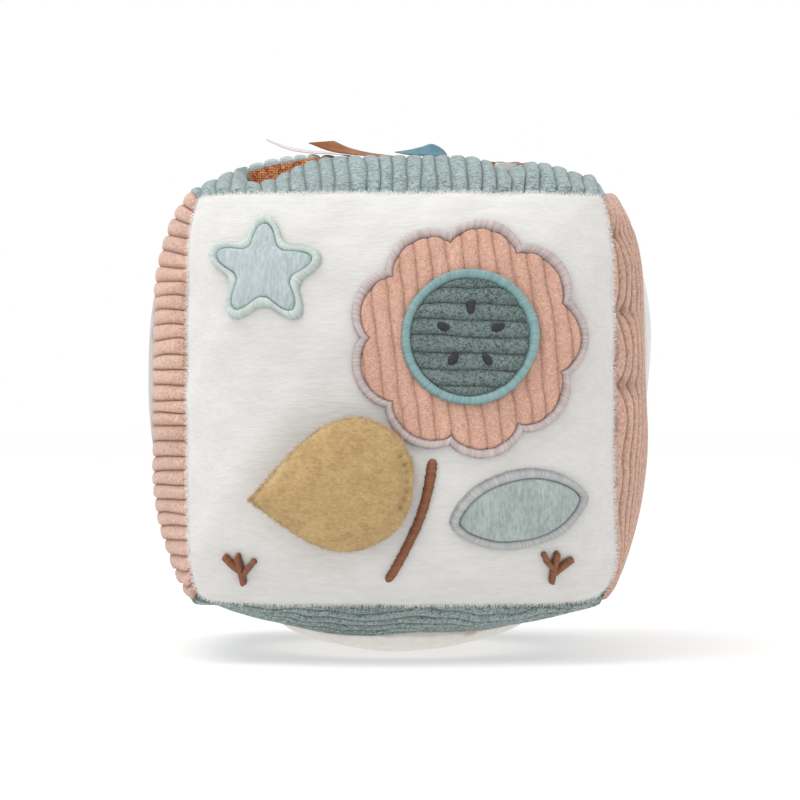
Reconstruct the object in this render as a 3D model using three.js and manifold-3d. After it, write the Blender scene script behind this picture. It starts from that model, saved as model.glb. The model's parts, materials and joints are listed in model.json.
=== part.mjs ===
// A soft activity block for a baby: six sewn fabric panels round a core of fibre fill.
// The front panel is white plush with a sewn picture of a daisy, a star and leaves, and one leaf is
// a padded flap that lifts. The top is split by a slit pocket with ribbons in its mouth. The side
// and bottom panels are wide-ribbed corduroy with a round inset of white cloth, and a rattle
// capsule lies in the fill. Millimetres, +Z up, the picture faces -Y, and the origin is the middle
// of the small flat on which the block stands. "Across" runs to the right, or back on a side panel.
import * as THREE from "three";
import { mergeVertices } from "three/addons/utils/BufferGeometryUtils.js";
import Module from "manifold-3d";

const wasm = await Module();
wasm.setup();

// Driving dimensions of the stuffed block, seam to seam at the middle of each edge
const blockWidth = 142;
const blockDepth = 142;
const blockHeight = 138;
const cornerDraw = 3; // how far the corners are drawn in from the middles of the edges
const crownPower = 3.5; // the higher, the flatter the middle of a face
const crownFront = 14;
const crownBack = 14;
const crownSide = 18.5;
const crownTop = 18;
const crownBottom = 15;

// Cloth and clearances
const clothThickness = 2.2;
const seamGap = 0.3; // between panels that are sewn edge to edge
const layerGap = 0.4; // between layers of cloth that lie on each other
const faceDivisions = 10;
const cutOverrun = 20; // how far a cutter runs past what it cuts

// Round insets in the corduroy panels
const bottomInsetSwell = 5.5; // how far its middle stands out past the corduroy
const footDepth = 0.5; // the flat on which the block stands, cut into the swell
const bottomInset = { radius: 48, across: 0, up: 0 };
const leftInset = { radius: 34, across: 3, up: 12 };
const rightInset = { radius: 29, across: -1, up: 24 };
const insetSegments = 32;
const ringShares = [1, 0.78, 0.52, 0.24]; // rings of a round piece, by radius

// The slit pocket in the top
const slitOffset = -8; // from the middle of the top towards the picture
const slitCentre = -5; // along the slit, from the middle of the top
const slitHalfLength = 50;
const mouthHalfWidth = 5.2;
const mouthPower = 1.3; // the higher, the more pointed its ends
const liningWall = 1;
const liningEndWall = 4; // the lining's seam at each end of the slit
const pocketDepth = 58; // below the middle of the top
const pocketFloorHalfWidth = 3.4;
const mouthRing = 28; // points round the mouth

// Rattle capsule in the fill
const rattleRadius = 19;
const rattleWall = 1.6;
const rattleDrop = 32; // below the middle of the block
const rattleSegments = 16;
const beadRadius = 3.2;
const beadSegments = 10;
const beadOrbitShare = 0.93; // how near the beads lie to the shell
const beadRowShares = [-1, 0, 1]; // each bead runs round in a plane of its own

// Sewn picture on the front panel
const appliqueThickness = 1.5;
const satinWidth = 3.2; // width of the satin-stitched borders
const satinRise = 2; // their height over what they are sewn to
const threadThickness = 1.3; // embroidery with no cloth under it
const daisy = { across: 22, up: 20, radius: 36, notch: 4.5, petals: 9, pointsPerPetal: 8, power: 0.7 };
const daisyMiddle = { radius: 18.5, segments: 36 };
const seeds = { ring: 9, radius: 1.9, count: 5, segments: 10, turn: 0.3 };
const star = { across: -44, up: 42, radius: 15.5, notch: 7, points: 5, pointsPerRay: 8, power: 1.5 };
const leaf = { across: 39, up: -36, halfLength: 20, halfWidth: 10, tilt: 0.2, power: 1.35, points: 36 };
const stem = { width: 3.4, lean: 0.28, bend: 3, footAcross: -4, footUp: -59, steps: 8 };
const sprigs = [
  { name: "left", across: -52, up: -62, tall: 11, lean: -0.2 },
  { name: "right", across: 50, up: -61, tall: 11, lean: 0.2 },
];
const sprigWidth = 2.4;
// Lines of a sprig: a stalk and two twigs, sideways and up, as shares of how tall it is
const sprigLineShares = [
  [[0, 0], [0, 0.5], [0, 1]],
  [[0, 0.3], [0.25, 0.55], [0.5, 0.8]],
  [[0, 0.45], [-0.22, 0.65], [-0.42, 0.95]],
];

// Padded leaf flap
const flapLength = 56;
const flapBelly = 17; // how far its edge swells on each side
const flapRootHalf = 9.5; // half the length of the sewn line
const flapPoints = 32;
const flapPower = 1.2; // the higher, the more points lie near the root
const flapBellyPower = 0.85; // under 1, the belly lies nearer to the root
const flapMiddleShare = 0.47; // of its length, where its dome is highest
const flapCoverShares = [1, 0.88, 0.62, 0.3];
const flapFillShares = [0.82, 0.45];
const flapFromStem = { across: -5.7, up: -5.7 }; // of its sewn line, from the top of the stem
const flapDroop = 6; // how far the tip hangs below the root
const flapRimHalf = 1.5; // half the thickness at the seam round the flap
const flapDomeFront = 3;
const flapDomeBack = 1;
const flapCover = 1.2; // cloth of each cover, at the middle
const flapOpening = 0.11; // how far it stands off the panel at rest, in radians
const filmHalf = 0.15;
const tackWidth = 1.6;
const tackShares = [-1, 0, 1];

// Ribbons: a tab is tucked at the back edge of the mouth, and the rest lies to the left
const ribbonThickness = 0.8;
const ribbonTab = 2.6;
const ribbonTwist = 2.2; // height over the lip in which a ribbon turns flat
const ribbonBend = 1.2;
const ribbonDriftShare = 0.4; // of a ribbon's run, in which it drifts sideways to its lane
const ribbonRisePower = 1.6;
const ribbonHumpPower = 0.8;
const ribbonSteps = { twist: 4, bend: 4, run: 12 };
const ribbons = [
  { name: "white", root: -14, width: 6, reach: 34, rise: 3.2, hump: 0, lane: 4.4, roll: 0 },
  { name: "rust", root: 0, width: 8, reach: 27.5, rise: 2.6, hump: 0, lane: 13, roll: -0.3 },
  { name: "blue", root: 15, width: 9, reach: 15, rise: 0.4, hump: 2.6, lane: -9, roll: 0.3 },
];
const tuckedRibbon = { fromSlitEnd: 11, width: 8, below: 30, above: 1.6 };

const colours = {
  whitePlush: 0xebeae6,
  printedCotton: 0xe4dfd8,
  pinkCorduroy: 0xc8a697,
  sageCorduroy: 0x8fa3a1,
  rustLining: 0xa8663a,
  whiteSatin: 0xe8e6e4,
  rustSatin: 0xa96a3c,
  blueSatin: 0x6f97a6,
  bluePlush: 0xb9c6c8,
  mustardPlush: 0xc4a46c,
  taupeThread: 0xa99a96,
  tealThread: 0x8aaeb0,
  greyThread: 0xa7a9a8,
  mintThread: 0xd5ddd9,
  brownThread: 0x6e3f22,
  blackThread: 0x15181a,
  fibreFill: 0xf2f2f0,
  film: 0xdfe6ea,
  rattlePlastic: 0xdadada,
  bead: 0x9aa0a6,
};

// Half sizes by axis, and the height of the block's middle over its base
const halves = [blockWidth / 2, blockDepth / 2, blockHeight / 2];
const middleHeight = blockHeight / 2 + crownBottom + bottomInsetSwell - footDepth;
const fillLift = -clothThickness - layerGap;
const settlePasses = 8; // in which a place in millimetres is found on the skin

// Each face: its axis, which end of it, its crown, and the two axes along it
const faces = {
  left: { axis: 0, end: -1, along: 1, up: 2 },
  right: { axis: 0, end: 1, along: 1, up: 2 },
  front: { axis: 1, end: -1, along: 0, up: 2 },
  back: { axis: 1, end: 1, along: 0, up: 2 },
  bottom: { axis: 2, end: -1, along: 0, up: 1 },
  top: { axis: 2, end: 1, along: 0, up: 1 },
};

const root = new THREE.Group();

function addPiece(name, geometry, colour, roughness = 0.95, parent = root) {
  const material = new THREE.MeshStandardMaterial({ color: colour, roughness, metalness: 0 });
  const mesh = new THREE.Mesh(geometry, material);
  mesh.name = name;
  parent.add(mesh);
  return mesh;
}

// A closed geometry from points and triangles, turned so that its faces point out.
function closedGeometry(points, triangles) {
  const volume = triangles.reduce((sum, [a, b, c]) => {
    const normal = new THREE.Vector3().crossVectors(points[b], points[c]);
    return sum + points[a].dot(normal);
  }, 0);
  const turned = volume < 0 ? triangles.map(([a, b, c]) => [a, c, b]) : triangles;
  return new THREE.BufferGeometry().setFromPoints(points).setIndex(turned.flat());
}

function solidOf(geometry) {
  const bare = geometry.clone();
  bare.deleteAttribute("normal");
  bare.deleteAttribute("uv");
  const merged = mergeVertices(bare);
  const mesh = new wasm.Mesh({
    numProp: 3,
    vertProperties: new Float32Array(merged.attributes.position.array),
    triVerts: new Uint32Array(merged.index.array),
  });
  return new wasm.Manifold(mesh);
}

function geometryOf(solid) {
  const mesh = solid.getMesh();
  const places = [];
  for (let i = 0; i < mesh.numVert; i += 1) {
    places.push(...mesh.vertProperties.subarray(i * mesh.numProp, i * mesh.numProp + 3));
  }
  return new THREE.BufferGeometry()
    .setAttribute("position", new THREE.BufferAttribute(new Float32Array(places), 3))
    .setIndex(new THREE.BufferAttribute(new Uint32Array(mesh.triVerts), 1));
}

// The swell of a face over its width: 1 in the middle, 0 at a seam
function swell(share) {
  return 1 - Math.abs(share) ** crownPower;
}

function crownOf(axis, end) {
  if (axis === 0) return crownSide;
  if (axis === 1) return end < 0 ? crownFront : crownBack;
  return end < 0 ? crownBottom : crownTop;
}

// A point of the stuffed skin for a point of the unit cube, lifted off the skin by some millimetres
function skin(unit, lift) {
  const swells = unit.map(swell);
  const place = unit.map((share, axis) => {
    const others = [0, 1, 2].filter((other) => other !== axis);
    const [one, two] = others.map((other) => swells[other]);
    const domed = (crownOf(axis, share) - cornerDraw) * one * two;
    return share * (halves[axis] + lift - cornerDraw + cornerDraw * (one + two) + domed);
  });
  return new THREE.Vector3(place[0], place[1], place[2] + middleHeight);
}

function skinOfFace(face, alongShare, upShare, lift) {
  const unit = [0, 0, 0];
  unit[face.axis] = face.end;
  unit[face.along] = alongShare;
  unit[face.up] = upShare;
  return skin(unit, lift);
}

// The point of the skin over a place given in millimetres from the middle of a face
function skinOver(face, [along, up], lift) {
  let alongShare = 0;
  let upShare = 0;
  for (let pass = 0; pass < settlePasses; pass += 1) {
    const alongHalf = halves[face.along] + lift - cornerDraw + cornerDraw * swell(upShare);
    alongShare = along / alongHalf;
    const upHalf = halves[face.up] + lift - cornerDraw + cornerDraw * swell(alongShare);
    upShare = up / upHalf;
  }
  return skinOfFace(face, alongShare, upShare, lift);
}

// A panel: a grid over the face, outside and inside, with walls along its four seams
function panelGeometry(face, outerLift = 0, innerLift = -clothThickness) {
  const edgeShare = 1 - (Math.SQRT2 * seamGap) / blockHeight;
  const count = faceDivisions + 1;
  const points = [];
  const triangles = [];
  const index = (layer, i, j) => layer * count * count + i * count + j;
  for (const lift of [outerLift, innerLift]) {
    for (let i = 0; i < count; i += 1) {
      for (let j = 0; j < count; j += 1) {
        const alongShare = edgeShare * ((2 * i) / faceDivisions - 1);
        const upShare = edgeShare * ((2 * j) / faceDivisions - 1);
        points.push(skinOfFace(face, alongShare, upShare, lift));
      }
    }
  }
  const quad = (a, b, c, d) => triangles.push([a, b, c], [a, c, d]);
  for (let i = 0; i < faceDivisions; i += 1) {
    for (let j = 0; j < faceDivisions; j += 1) {
      quad(index(0, i, j), index(0, i + 1, j), index(0, i + 1, j + 1), index(0, i, j + 1));
      quad(index(1, i, j), index(1, i, j + 1), index(1, i + 1, j + 1), index(1, i + 1, j));
    }
    const last = faceDivisions;
    quad(index(0, i, 0), index(1, i, 0), index(1, i + 1, 0), index(0, i + 1, 0));
    quad(index(0, i + 1, last), index(1, i + 1, last), index(1, i, last), index(0, i, last));
    quad(index(0, 0, i + 1), index(1, 0, i + 1), index(1, 0, i), index(0, 0, i));
    quad(index(0, last, i), index(1, last, i), index(1, last, i + 1), index(0, last, i + 1));
  }
  return closedGeometry(points, triangles);
}

// The whole stuffed body at a lift, closed, as six grids that share their edges
function bodyGeometry(lift) {
  const points = [];
  const triangles = [];
  for (const face of Object.values(faces)) {
    const start = points.length;
    const count = faceDivisions + 1;
    for (let i = 0; i < count; i += 1) {
      for (let j = 0; j < count; j += 1) {
        points.push(skinOfFace(face, (2 * i) / faceDivisions - 1, (2 * j) / faceDivisions - 1, lift));
      }
    }
    const turned = (face.axis === 1 ? -1 : 1) * face.end < 0;
    for (let i = 0; i < faceDivisions; i += 1) {
      for (let j = 0; j < faceDivisions; j += 1) {
        const near = start + i * count + j;
        const far = near + count;
        const [one, two] = turned ? [near + 1, far] : [far, near + 1];
        triangles.push([near, one, far + 1], [near, far + 1, two]);
      }
    }
  }
  return closedGeometry(points, triangles);
}

// Rings of places in the plane of a face: [along, up] in millimetres from its middle
function polarRing({ across, up }, radiusAt, count) {
  return Array.from({ length: count }, (_, i) => {
    const angle = (2 * Math.PI * i) / count;
    const radius = radiusAt(angle);
    return [across + radius * Math.cos(angle), up + radius * Math.sin(angle)];
  });
}

function circleRing(middle, radius, count) {
  return polarRing(middle, () => radius, count);
}

function drawnIn(ring, { across, up }, share) {
  return ring.map(([a, b]) => [across + share * (a - across), up + share * (b - up)]);
}

// Joins rings of equal count, low side and high side, and closes them at the outer wall and at
// the middle, or at an inner wall where the plate is a band.
function ringSolid(lowRings, highRings, band) {
  const count = lowRings[0].length;
  const points = [...lowRings.flat(), ...highRings.flat()];
  const highStart = lowRings.length * count;
  const triangles = [];
  const last = lowRings.length - 1;
  const quad = (a, b, c, d) => triangles.push([a, b, c], [a, c, d]);
  for (let i = 0; i < count; i += 1) {
    const next = (i + 1) % count;
    for (let r = 0; r < last; r += 1) {
      const outer = r * count;
      const inner = outer + count;
      quad(outer + i, inner + i, inner + next, outer + next);
      quad(highStart + outer + i, highStart + outer + next, highStart + inner + next, highStart + inner + i);
    }
    quad(i, next, highStart + next, highStart + i);
    const inside = last * count;
    if (band) quad(inside + next, inside + i, highStart + inside + i, highStart + inside + next);
  }
  if (!band) {
    const middleOf = (ring) => ring.reduce((sum, p) => sum.add(p), new THREE.Vector3()).divideScalar(count);
    const lowMiddle = points.push(middleOf(lowRings[last])) - 1;
    const highMiddle = points.push(middleOf(highRings[last])) - 1;
    for (let i = 0; i < count; i += 1) {
      const next = (i + 1) % count;
      triangles.push([last * count + i, lowMiddle, last * count + next]);
      triangles.push([highStart + last * count + i, highStart + last * count + next, highMiddle]);
    }
  }
  return closedGeometry(points, triangles);
}

// A straight block through a face, whose section is a ring of places, or a band between two rings
function cutterThrough(face, rings) {
  const far = halves[face.axis] + crownOf(face.axis, face.end) + cutOverrun;
  const placed = (depth) =>
    rings.map((ring) =>
      ring.map(([along, up]) => {
        const place = [0, 0, 0];
        place[face.axis] = face.end * depth;
        place[face.along] = along;
        place[face.up] = up;
        return new THREE.Vector3(place[0], place[1], place[2] + middleHeight);
      }),
    );
  return solidOf(ringSolid(placed(far / 2), placed(far), rings.length > 1));
}

// Cloth or thread on the front panel, between two lifts over its skin
function onFront(cutter, lowLift, highLift) {
  const layer = solidOf(panelGeometry(faces.front, highLift, lowLift));
  return geometryOf(layer.intersect(cutter));
}

function patch(ring, lowLift) {
  return onFront(cutterThrough(faces.front, [ring]), lowLift, lowLift + appliqueThickness);
}

// Satin stitches round a patch: a band between two rings that stands a little over the cloth
function satinBorder(inner, outer, lowLift) {
  return onFront(cutterThrough(faces.front, [outer, inner]), lowLift, lowLift + satinRise);
}

// A straight block through the front panel, whose section is a narrow strip along a line
function stripCutter(line, width) {
  const sides = [-1, 1].map((side) =>
    line.map(([a, b], i) => {
      const [a0, b0] = line[Math.max(i - 1, 0)];
      const [a1, b1] = line[Math.min(i + 1, line.length - 1)];
      const run = Math.hypot(a1 - a0, b1 - b0);
      const half = (side * width) / 2;
      return [a - ((b1 - b0) / run) * half, b + ((a1 - a0) / run) * half];
    }),
  );
  const loop = [...sides[0], ...sides[1].reverse()];
  const far = halves[1] + crownFront + cutOverrun;
  const points = [far / 2, far].flatMap((depth) =>
    loop.map(([a, b]) => new THREE.Vector3(a, -depth, b + middleHeight)),
  );
  const total = loop.length;
  const triangles = [];
  for (let i = 0; i < total; i += 1) {
    const next = (i + 1) % total;
    triangles.push([i, next, total + next], [i, total + next, total + i]);
  }
  for (let i = 0; i < line.length - 1; i += 1) {
    const other = total - 1 - i;
    triangles.push([i, other, other - 1], [i, other - 1, i + 1]);
    triangles.push([total + i, total + other - 1, total + other]);
    triangles.push([total + i, total + i + 1, total + other - 1]);
  }
  return solidOf(closedGeometry(points, triangles));
}

// Plain panels
addPiece("front_panel", panelGeometry(faces.front), colours.whitePlush);
addPiece("back_panel", panelGeometry(faces.back), colours.printedCotton);

// Corduroy panels with a round hole, and the inset that fills it
function panelWithHole(face, inset) {
  const hole = cutterThrough(face, [circleRing(inset, inset.radius + seamGap, insetSegments)]);
  return geometryOf(solidOf(panelGeometry(face)).subtract(hole));
}

function flatInset(face, inset) {
  const disc = cutterThrough(face, [circleRing(inset, inset.radius, insetSegments)]);
  return geometryOf(solidOf(panelGeometry(face)).intersect(disc));
}

// A round of cloth that stands out past its panel, most in the middle
function swollenDisc(face, inset, radius, lowLift, highLift) {
  const circle = circleRing(inset, radius, insetSegments);
  const rings = ringShares.map((share) => drawnIn(circle, inset, share));
  const placed = (lift) =>
    rings.map((ring, r) => {
      const raised = lift + bottomInsetSwell * (1 - ringShares[r] ** 2);
      return ring.map((place) => skinOver(face, place, raised));
    });
  return solidOf(ringSolid(placed(lowLift), placed(highLift), false));
}

addPiece("left_panel", panelWithHole(faces.left, leftInset), colours.pinkCorduroy);
addPiece("left_inset", flatInset(faces.left, leftInset), colours.printedCotton);
addPiece("right_panel", panelWithHole(faces.right, rightInset), colours.pinkCorduroy);
addPiece("right_inset", flatInset(faces.right, rightInset), colours.printedCotton);
addPiece("bottom_panel", panelWithHole(faces.bottom, bottomInset), colours.sageCorduroy);

function boxBetween(low, high) {
  const size = high.map((value, axis) => value - low[axis]);
  const box = new THREE.BoxGeometry(...size);
  return box.translate(...low.map((value, axis) => value + size[axis] / 2));
}

const wide = Math.max(blockWidth, blockDepth) + cutOverrun;
const underFloor = solidOf(boxBetween([-wide, -wide, -wide], [wide, wide, 0]));
const bottomDisc = swollenDisc(faces.bottom, bottomInset, bottomInset.radius, -clothThickness, 0);
addPiece("bottom_inset", geometryOf(bottomDisc.subtract(underFloor)), colours.printedCotton);

// The slit's mouth is a lens in plan, and the pocket narrows towards its floor
const topHeight = skinOver(faces.top, [slitCentre, slitOffset], 0).z;
const pocketFloor = topHeight - pocketDepth;

// Half the width of the pocket at a place along the slit, at some depth under its mouth
function pocketHalfAt(across, below) {
  const share = (across - slitCentre) / (slitHalfLength - liningEndWall);
  const widest = mouthHalfWidth - (mouthHalfWidth - pocketFloorHalfWidth) * (below / pocketDepth);
  return widest * (1 - share ** 2) ** (mouthPower / 2);
}

function lens(halfLength, halfWidth, height) {
  return Array.from({ length: mouthRing }, (_, i) => {
    const angle = (2 * Math.PI * i) / mouthRing;
    const across = halfWidth * Math.sin(angle) * Math.abs(Math.sin(angle)) ** (mouthPower - 1);
    return new THREE.Vector3(slitCentre + halfLength * Math.cos(angle), slitOffset + across, height);
  });
}

function lensPost(halfLength, floorHalf, mouthHalf, floorHeight) {
  const over = topHeight + cutOverrun;
  const slope = (mouthHalf - floorHalf) / (topHeight - pocketFloor);
  const low = lens(halfLength, floorHalf + slope * (floorHeight - pocketFloor), floorHeight);
  const high = lens(halfLength, mouthHalf + slope * (over - topHeight), over);
  return solidOf(ringSolid([low], [high], false));
}

const liningOutside = lensPost(
  slitHalfLength,
  pocketFloorHalfWidth + liningWall,
  mouthHalfWidth + liningWall,
  pocketFloor,
);
const liningInside = lensPost(
  slitHalfLength - liningEndWall,
  pocketFloorHalfWidth,
  mouthHalfWidth,
  pocketFloor + liningWall,
);
const liningRoom = lensPost(
  slitHalfLength + layerGap,
  pocketFloorHalfWidth + liningWall + layerGap,
  mouthHalfWidth + liningWall + layerGap,
  pocketFloor - layerGap,
);
const underSkin = solidOf(bodyGeometry(0));
const lining = liningOutside.subtract(liningInside).intersect(underSkin);
addPiece("pocket_lining", geometryOf(lining), colours.rustLining);

// Two panels make the top: the slit is left open where they meet
function halfSpace(side) {
  const edge = slitOffset + (side * seamGap) / 2;
  const low = [-wide, side < 0 ? -wide : edge, -wide];
  const high = [wide, side < 0 ? edge : wide, topHeight + wide];
  return solidOf(boxBetween(low, high));
}

const topCloth = solidOf(panelGeometry(faces.top)).subtract(liningRoom);
for (const [name, side] of [["top_front_panel", -1], ["top_back_panel", 1]]) {
  addPiece(name, geometryOf(topCloth.intersect(halfSpace(side))), colours.sageCorduroy);
}

// Fibre fill in two wads that meet in the plane of the slit, round the pocket and the rattle
const rattleMiddle = [0, slitOffset, middleHeight - rattleDrop];

function ballProfile(radius, steps) {
  return Array.from({ length: steps + 1 }, (_, i) => {
    const angle = (Math.PI * i) / steps - Math.PI / 2;
    const onAxis = i === 0 || i === steps;
    return new THREE.Vector2(onAxis ? 0 : radius * Math.cos(angle), radius * Math.sin(angle));
  });
}

function ball(radius, segments, middle) {
  const lathe = new THREE.LatheGeometry(ballProfile(radius, segments / 2), segments);
  return lathe.translate(...middle);
}

const bulgeRadius = bottomInset.radius - clothThickness;
const bottomSwell = swollenDisc(faces.bottom, bottomInset, bulgeRadius, fillLift - clothThickness, fillLift);
const wholeFill = solidOf(bodyGeometry(fillLift))
  .add(bottomSwell)
  .subtract(liningRoom)
  .subtract(solidOf(ball(rattleRadius + layerGap, rattleSegments, rattleMiddle)));
for (const [name, side] of [["front_fill", -1], ["back_fill", 1]]) {
  addPiece(name, geometryOf(wholeFill.intersect(halfSpace(side))), colours.fibreFill);
}

// Rattle: two moulded half shells and three beads that run loose inside
const rattleWhole = solidOf(ball(rattleRadius, rattleSegments, rattleMiddle));
const rattleHollow = solidOf(ball(rattleRadius - rattleWall, rattleSegments, rattleMiddle));
const rattleShell = rattleWhole.subtract(rattleHollow);
for (const [name, side] of [["rattle_front_shell", -1], ["rattle_back_shell", 1]]) {
  addPiece(name, geometryOf(rattleShell.intersect(halfSpace(side))), colours.rattlePlastic, 0.5);
}
const beadOrbit = beadOrbitShare * (rattleRadius - rattleWall - beadRadius);
const beadPitch = 2 * beadRadius + layerGap;
beadRowShares.forEach((share, i) => {
  const [x, y, z] = rattleMiddle;
  const back = share * beadPitch;
  const place = [x, y + back, z - Math.sqrt(beadOrbit ** 2 - back ** 2)];
  addPiece(`rattle_bead_${i + 1}`, ball(beadRadius, beadSegments, place), colours.bead, 0.4);
});

// Daisy: scalloped petals in pink corduroy, with a sage corduroy middle sewn over them
const firstLayer = layerGap;
const secondLayer = firstLayer + appliqueThickness + layerGap;
const thirdLayer = secondLayer + appliqueThickness + layerGap;
const threadTop = firstLayer + threadThickness;

function petalRing(growth) {
  const radiusAt = (angle) => {
    const scallop = Math.abs(Math.cos((daisy.petals * angle) / 2)) ** daisy.power;
    return daisy.radius + growth - daisy.notch * (1 - scallop);
  };
  return polarRing(daisy, radiusAt, daisy.petals * daisy.pointsPerPetal);
}

function daisyMiddleRing(growth) {
  return circleRing(daisy, daisyMiddle.radius + growth, daisyMiddle.segments);
}

const petalBorder = satinBorder(petalRing(0), petalRing(satinWidth), firstLayer);
const middleBorder = satinBorder(daisyMiddleRing(0), daisyMiddleRing(satinWidth), secondLayer);
addPiece("petal_patch", patch(petalRing(-seamGap), firstLayer), colours.pinkCorduroy);
addPiece("petal_border", petalBorder, colours.taupeThread, 0.6);
addPiece("daisy_middle_patch", patch(daisyMiddleRing(-seamGap), secondLayer), colours.sageCorduroy);
addPiece("daisy_middle_border", middleBorder, colours.tealThread, 0.6);
for (let i = 0; i < seeds.count; i += 1) {
  const angle = (2 * Math.PI * i) / seeds.count + seeds.turn;
  const across = daisy.across + seeds.ring * Math.cos(angle);
  const up = daisy.up + seeds.ring * Math.sin(angle);
  const round = cutterThrough(faces.front, [circleRing({ across, up }, seeds.radius, seeds.segments)]);
  const stitches = onFront(round, thirdLayer, thirdLayer + threadThickness);
  addPiece(`seed_stitch_${i + 1}`, stitches, colours.blackThread, 0.7);
}

// Star in pale blue plush
function starRing(growth) {
  const radiusAt = (angle) => {
    const ray = ((1 + Math.cos(star.points * (angle - Math.PI / 2))) / 2) ** star.power;
    return star.radius + growth - star.notch * (1 - ray);
  };
  return polarRing(star, radiusAt, star.points * star.pointsPerRay);
}

addPiece("star_patch", patch(starRing(-seamGap), firstLayer), colours.bluePlush);
addPiece("star_border", satinBorder(starRing(0), starRing(satinWidth), firstLayer), colours.mintThread, 0.6);

// Flat leaf in pale blue plush, to the right of the stem
function leafRing(growth) {
  return Array.from({ length: leaf.points }, (_, i) => {
    const angle = (2 * Math.PI * i) / leaf.points;
    const long = (leaf.halfLength + growth) * Math.cos(angle);
    const bulge = Math.sign(Math.sin(angle)) * Math.abs(Math.sin(angle)) ** leaf.power;
    const side = (leaf.halfWidth + growth) * bulge;
    return [
      leaf.across + long * Math.cos(leaf.tilt) - side * Math.sin(leaf.tilt),
      leaf.up + long * Math.sin(leaf.tilt) + side * Math.cos(leaf.tilt),
    ];
  });
}

addPiece("leaf_patch", patch(leafRing(-seamGap), firstLayer), colours.bluePlush);
addPiece("leaf_border", satinBorder(leafRing(0), leafRing(satinWidth), firstLayer), colours.greyThread, 0.6);

// Stem: brown satin stitches from the petals down to the ground
const stemTopRadius = daisy.radius + satinWidth + stem.width / 2;
const stemTopAcross = daisy.across - stemTopRadius * Math.sin(stem.lean);
const stemTopUp = daisy.up - stemTopRadius * Math.cos(stem.lean);
const stemLine = Array.from({ length: stem.steps + 1 }, (_, i) => {
  const share = i / stem.steps;
  const bend = stem.bend * Math.sin(share * Math.PI);
  return [
    stemTopAcross + (stem.footAcross - stemTopAcross) * share + bend,
    stemTopUp + (stem.footUp - stemTopUp) * share,
  ];
});
const stemStitches = onFront(stripCutter(stemLine, stem.width), firstLayer, threadTop);
addPiece("stem_stitch", stemStitches, colours.brownThread, 0.7);

// Two sprigs, each a stalk with two twigs
for (const sprig of sprigs) {
  const strips = sprigLineShares.map((line) => {
    const places = line.map(([side, rise]) => [
      sprig.across + (side + sprig.lean * rise) * sprig.tall,
      sprig.up + rise * sprig.tall,
    ]);
    return stripCutter(places, sprigWidth);
  });
  const joined = strips.slice(1).reduce((sum, strip) => sum.add(strip), strips[0]);
  addPiece(`sprig_stitch_${sprig.name}`, onFront(joined, firstLayer, threadTop), colours.brownThread, 0.7);
}

// Leaf flap: two plush covers sewn round the rim, with wadding and a crackling film between them.
// Its group sits on the sewn line, and turns about it.
const flapRoot = { across: stemTopAcross + flapFromStem.across, up: stemTopUp + flapFromStem.up };
const flapUnder = skinOver(faces.front, [flapRoot.across, flapRoot.up], 0);
const hingeLift = firstLayer + satinRise + layerGap + flapDomeBack + flapRimHalf;
const tackTop = hingeLift - flapRimHalf - layerGap;
const flapGroup = new THREE.Group();
flapGroup.position.set(flapUnder.x, flapUnder.y - hingeLift, flapUnder.z);
flapGroup.rotation.z = flapOpening;
root.add(flapGroup);

// Outline of the flap in its own plane: x runs to the left from the sewn line, z is up
function flapRing(share) {
  const middle = { across: -flapMiddleShare * flapLength, up: -flapDroop * flapMiddleShare ** 2 };
  const half = flapPoints / 2;
  const outline = Array.from({ length: flapPoints }, (_, i) => {
    const upper = i < half;
    const step = upper ? i : flapPoints - 1 - i;
    const run = step === 0 ? 0 : Math.sin(((step + 0.5) / half) * (Math.PI / 2)) ** flapPower;
    const swelling = flapBelly * Math.sin(Math.PI * run ** flapBellyPower) + flapRootHalf * (1 - run);
    return [-run * flapLength, (upper ? swelling : -swelling) - flapDroop * run ** 2];
  });
  return drawnIn(outline, middle, share);
}

// A layer of the flap between two heights, each a function of how near the rim it is
function flapLayer(shares, lowAt, highAt) {
  const placed = (heightAt) =>
    shares.map((share) => flapRing(share).map(([x, z]) => new THREE.Vector3(x, -heightAt(share), z)));
  return ringSolid(placed(lowAt), placed(highAt), false);
}

const rimGap = seamGap / 2;
const dome = (share) => 1 - share ** 2;
const frontOutside = (share) => flapRimHalf + flapDomeFront * dome(share);
const frontInside = (share) => rimGap + (flapDomeFront + flapRimHalf - flapCover - rimGap) * dome(share);
const backOutside = (share) => -flapRimHalf - flapDomeBack * dome(share);
const backInside = (share) => -rimGap - (flapDomeBack + flapRimHalf - flapCover - rimGap) * dome(share);
const waddingLow = () => filmHalf + rimGap;
const waddingHigh = (share) => frontInside(share) - seamGap;
const flapPieces = {
  flap_front_cover: [flapLayer(flapCoverShares, frontInside, frontOutside), colours.mustardPlush, 0.95],
  flap_back_cover: [flapLayer(flapCoverShares, backInside, backOutside), colours.mustardPlush, 0.95],
  flap_film: [flapLayer(flapFillShares, () => -filmHalf, () => filmHalf), colours.film, 0.3],
  flap_wadding: [flapLayer(flapFillShares, waddingLow, waddingHigh), colours.fibreFill, 0.95],
};
for (const [name, [geometry, colour, roughness]] of Object.entries(flapPieces)) {
  addPiece(name, geometry, colour, roughness, flapGroup);
}

// Tack: the folded hem and the row of stitches that hold the flap's root to the panel
const tackLine = tackShares.map((share) => [
  flapRoot.across - tackWidth / 2,
  flapRoot.up + share * (flapRootHalf - tackWidth),
]);
addPiece("flap_tack", onFront(stripCutter(tackLine, tackWidth), firstLayer, tackTop), colours.mustardPlush);

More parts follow.
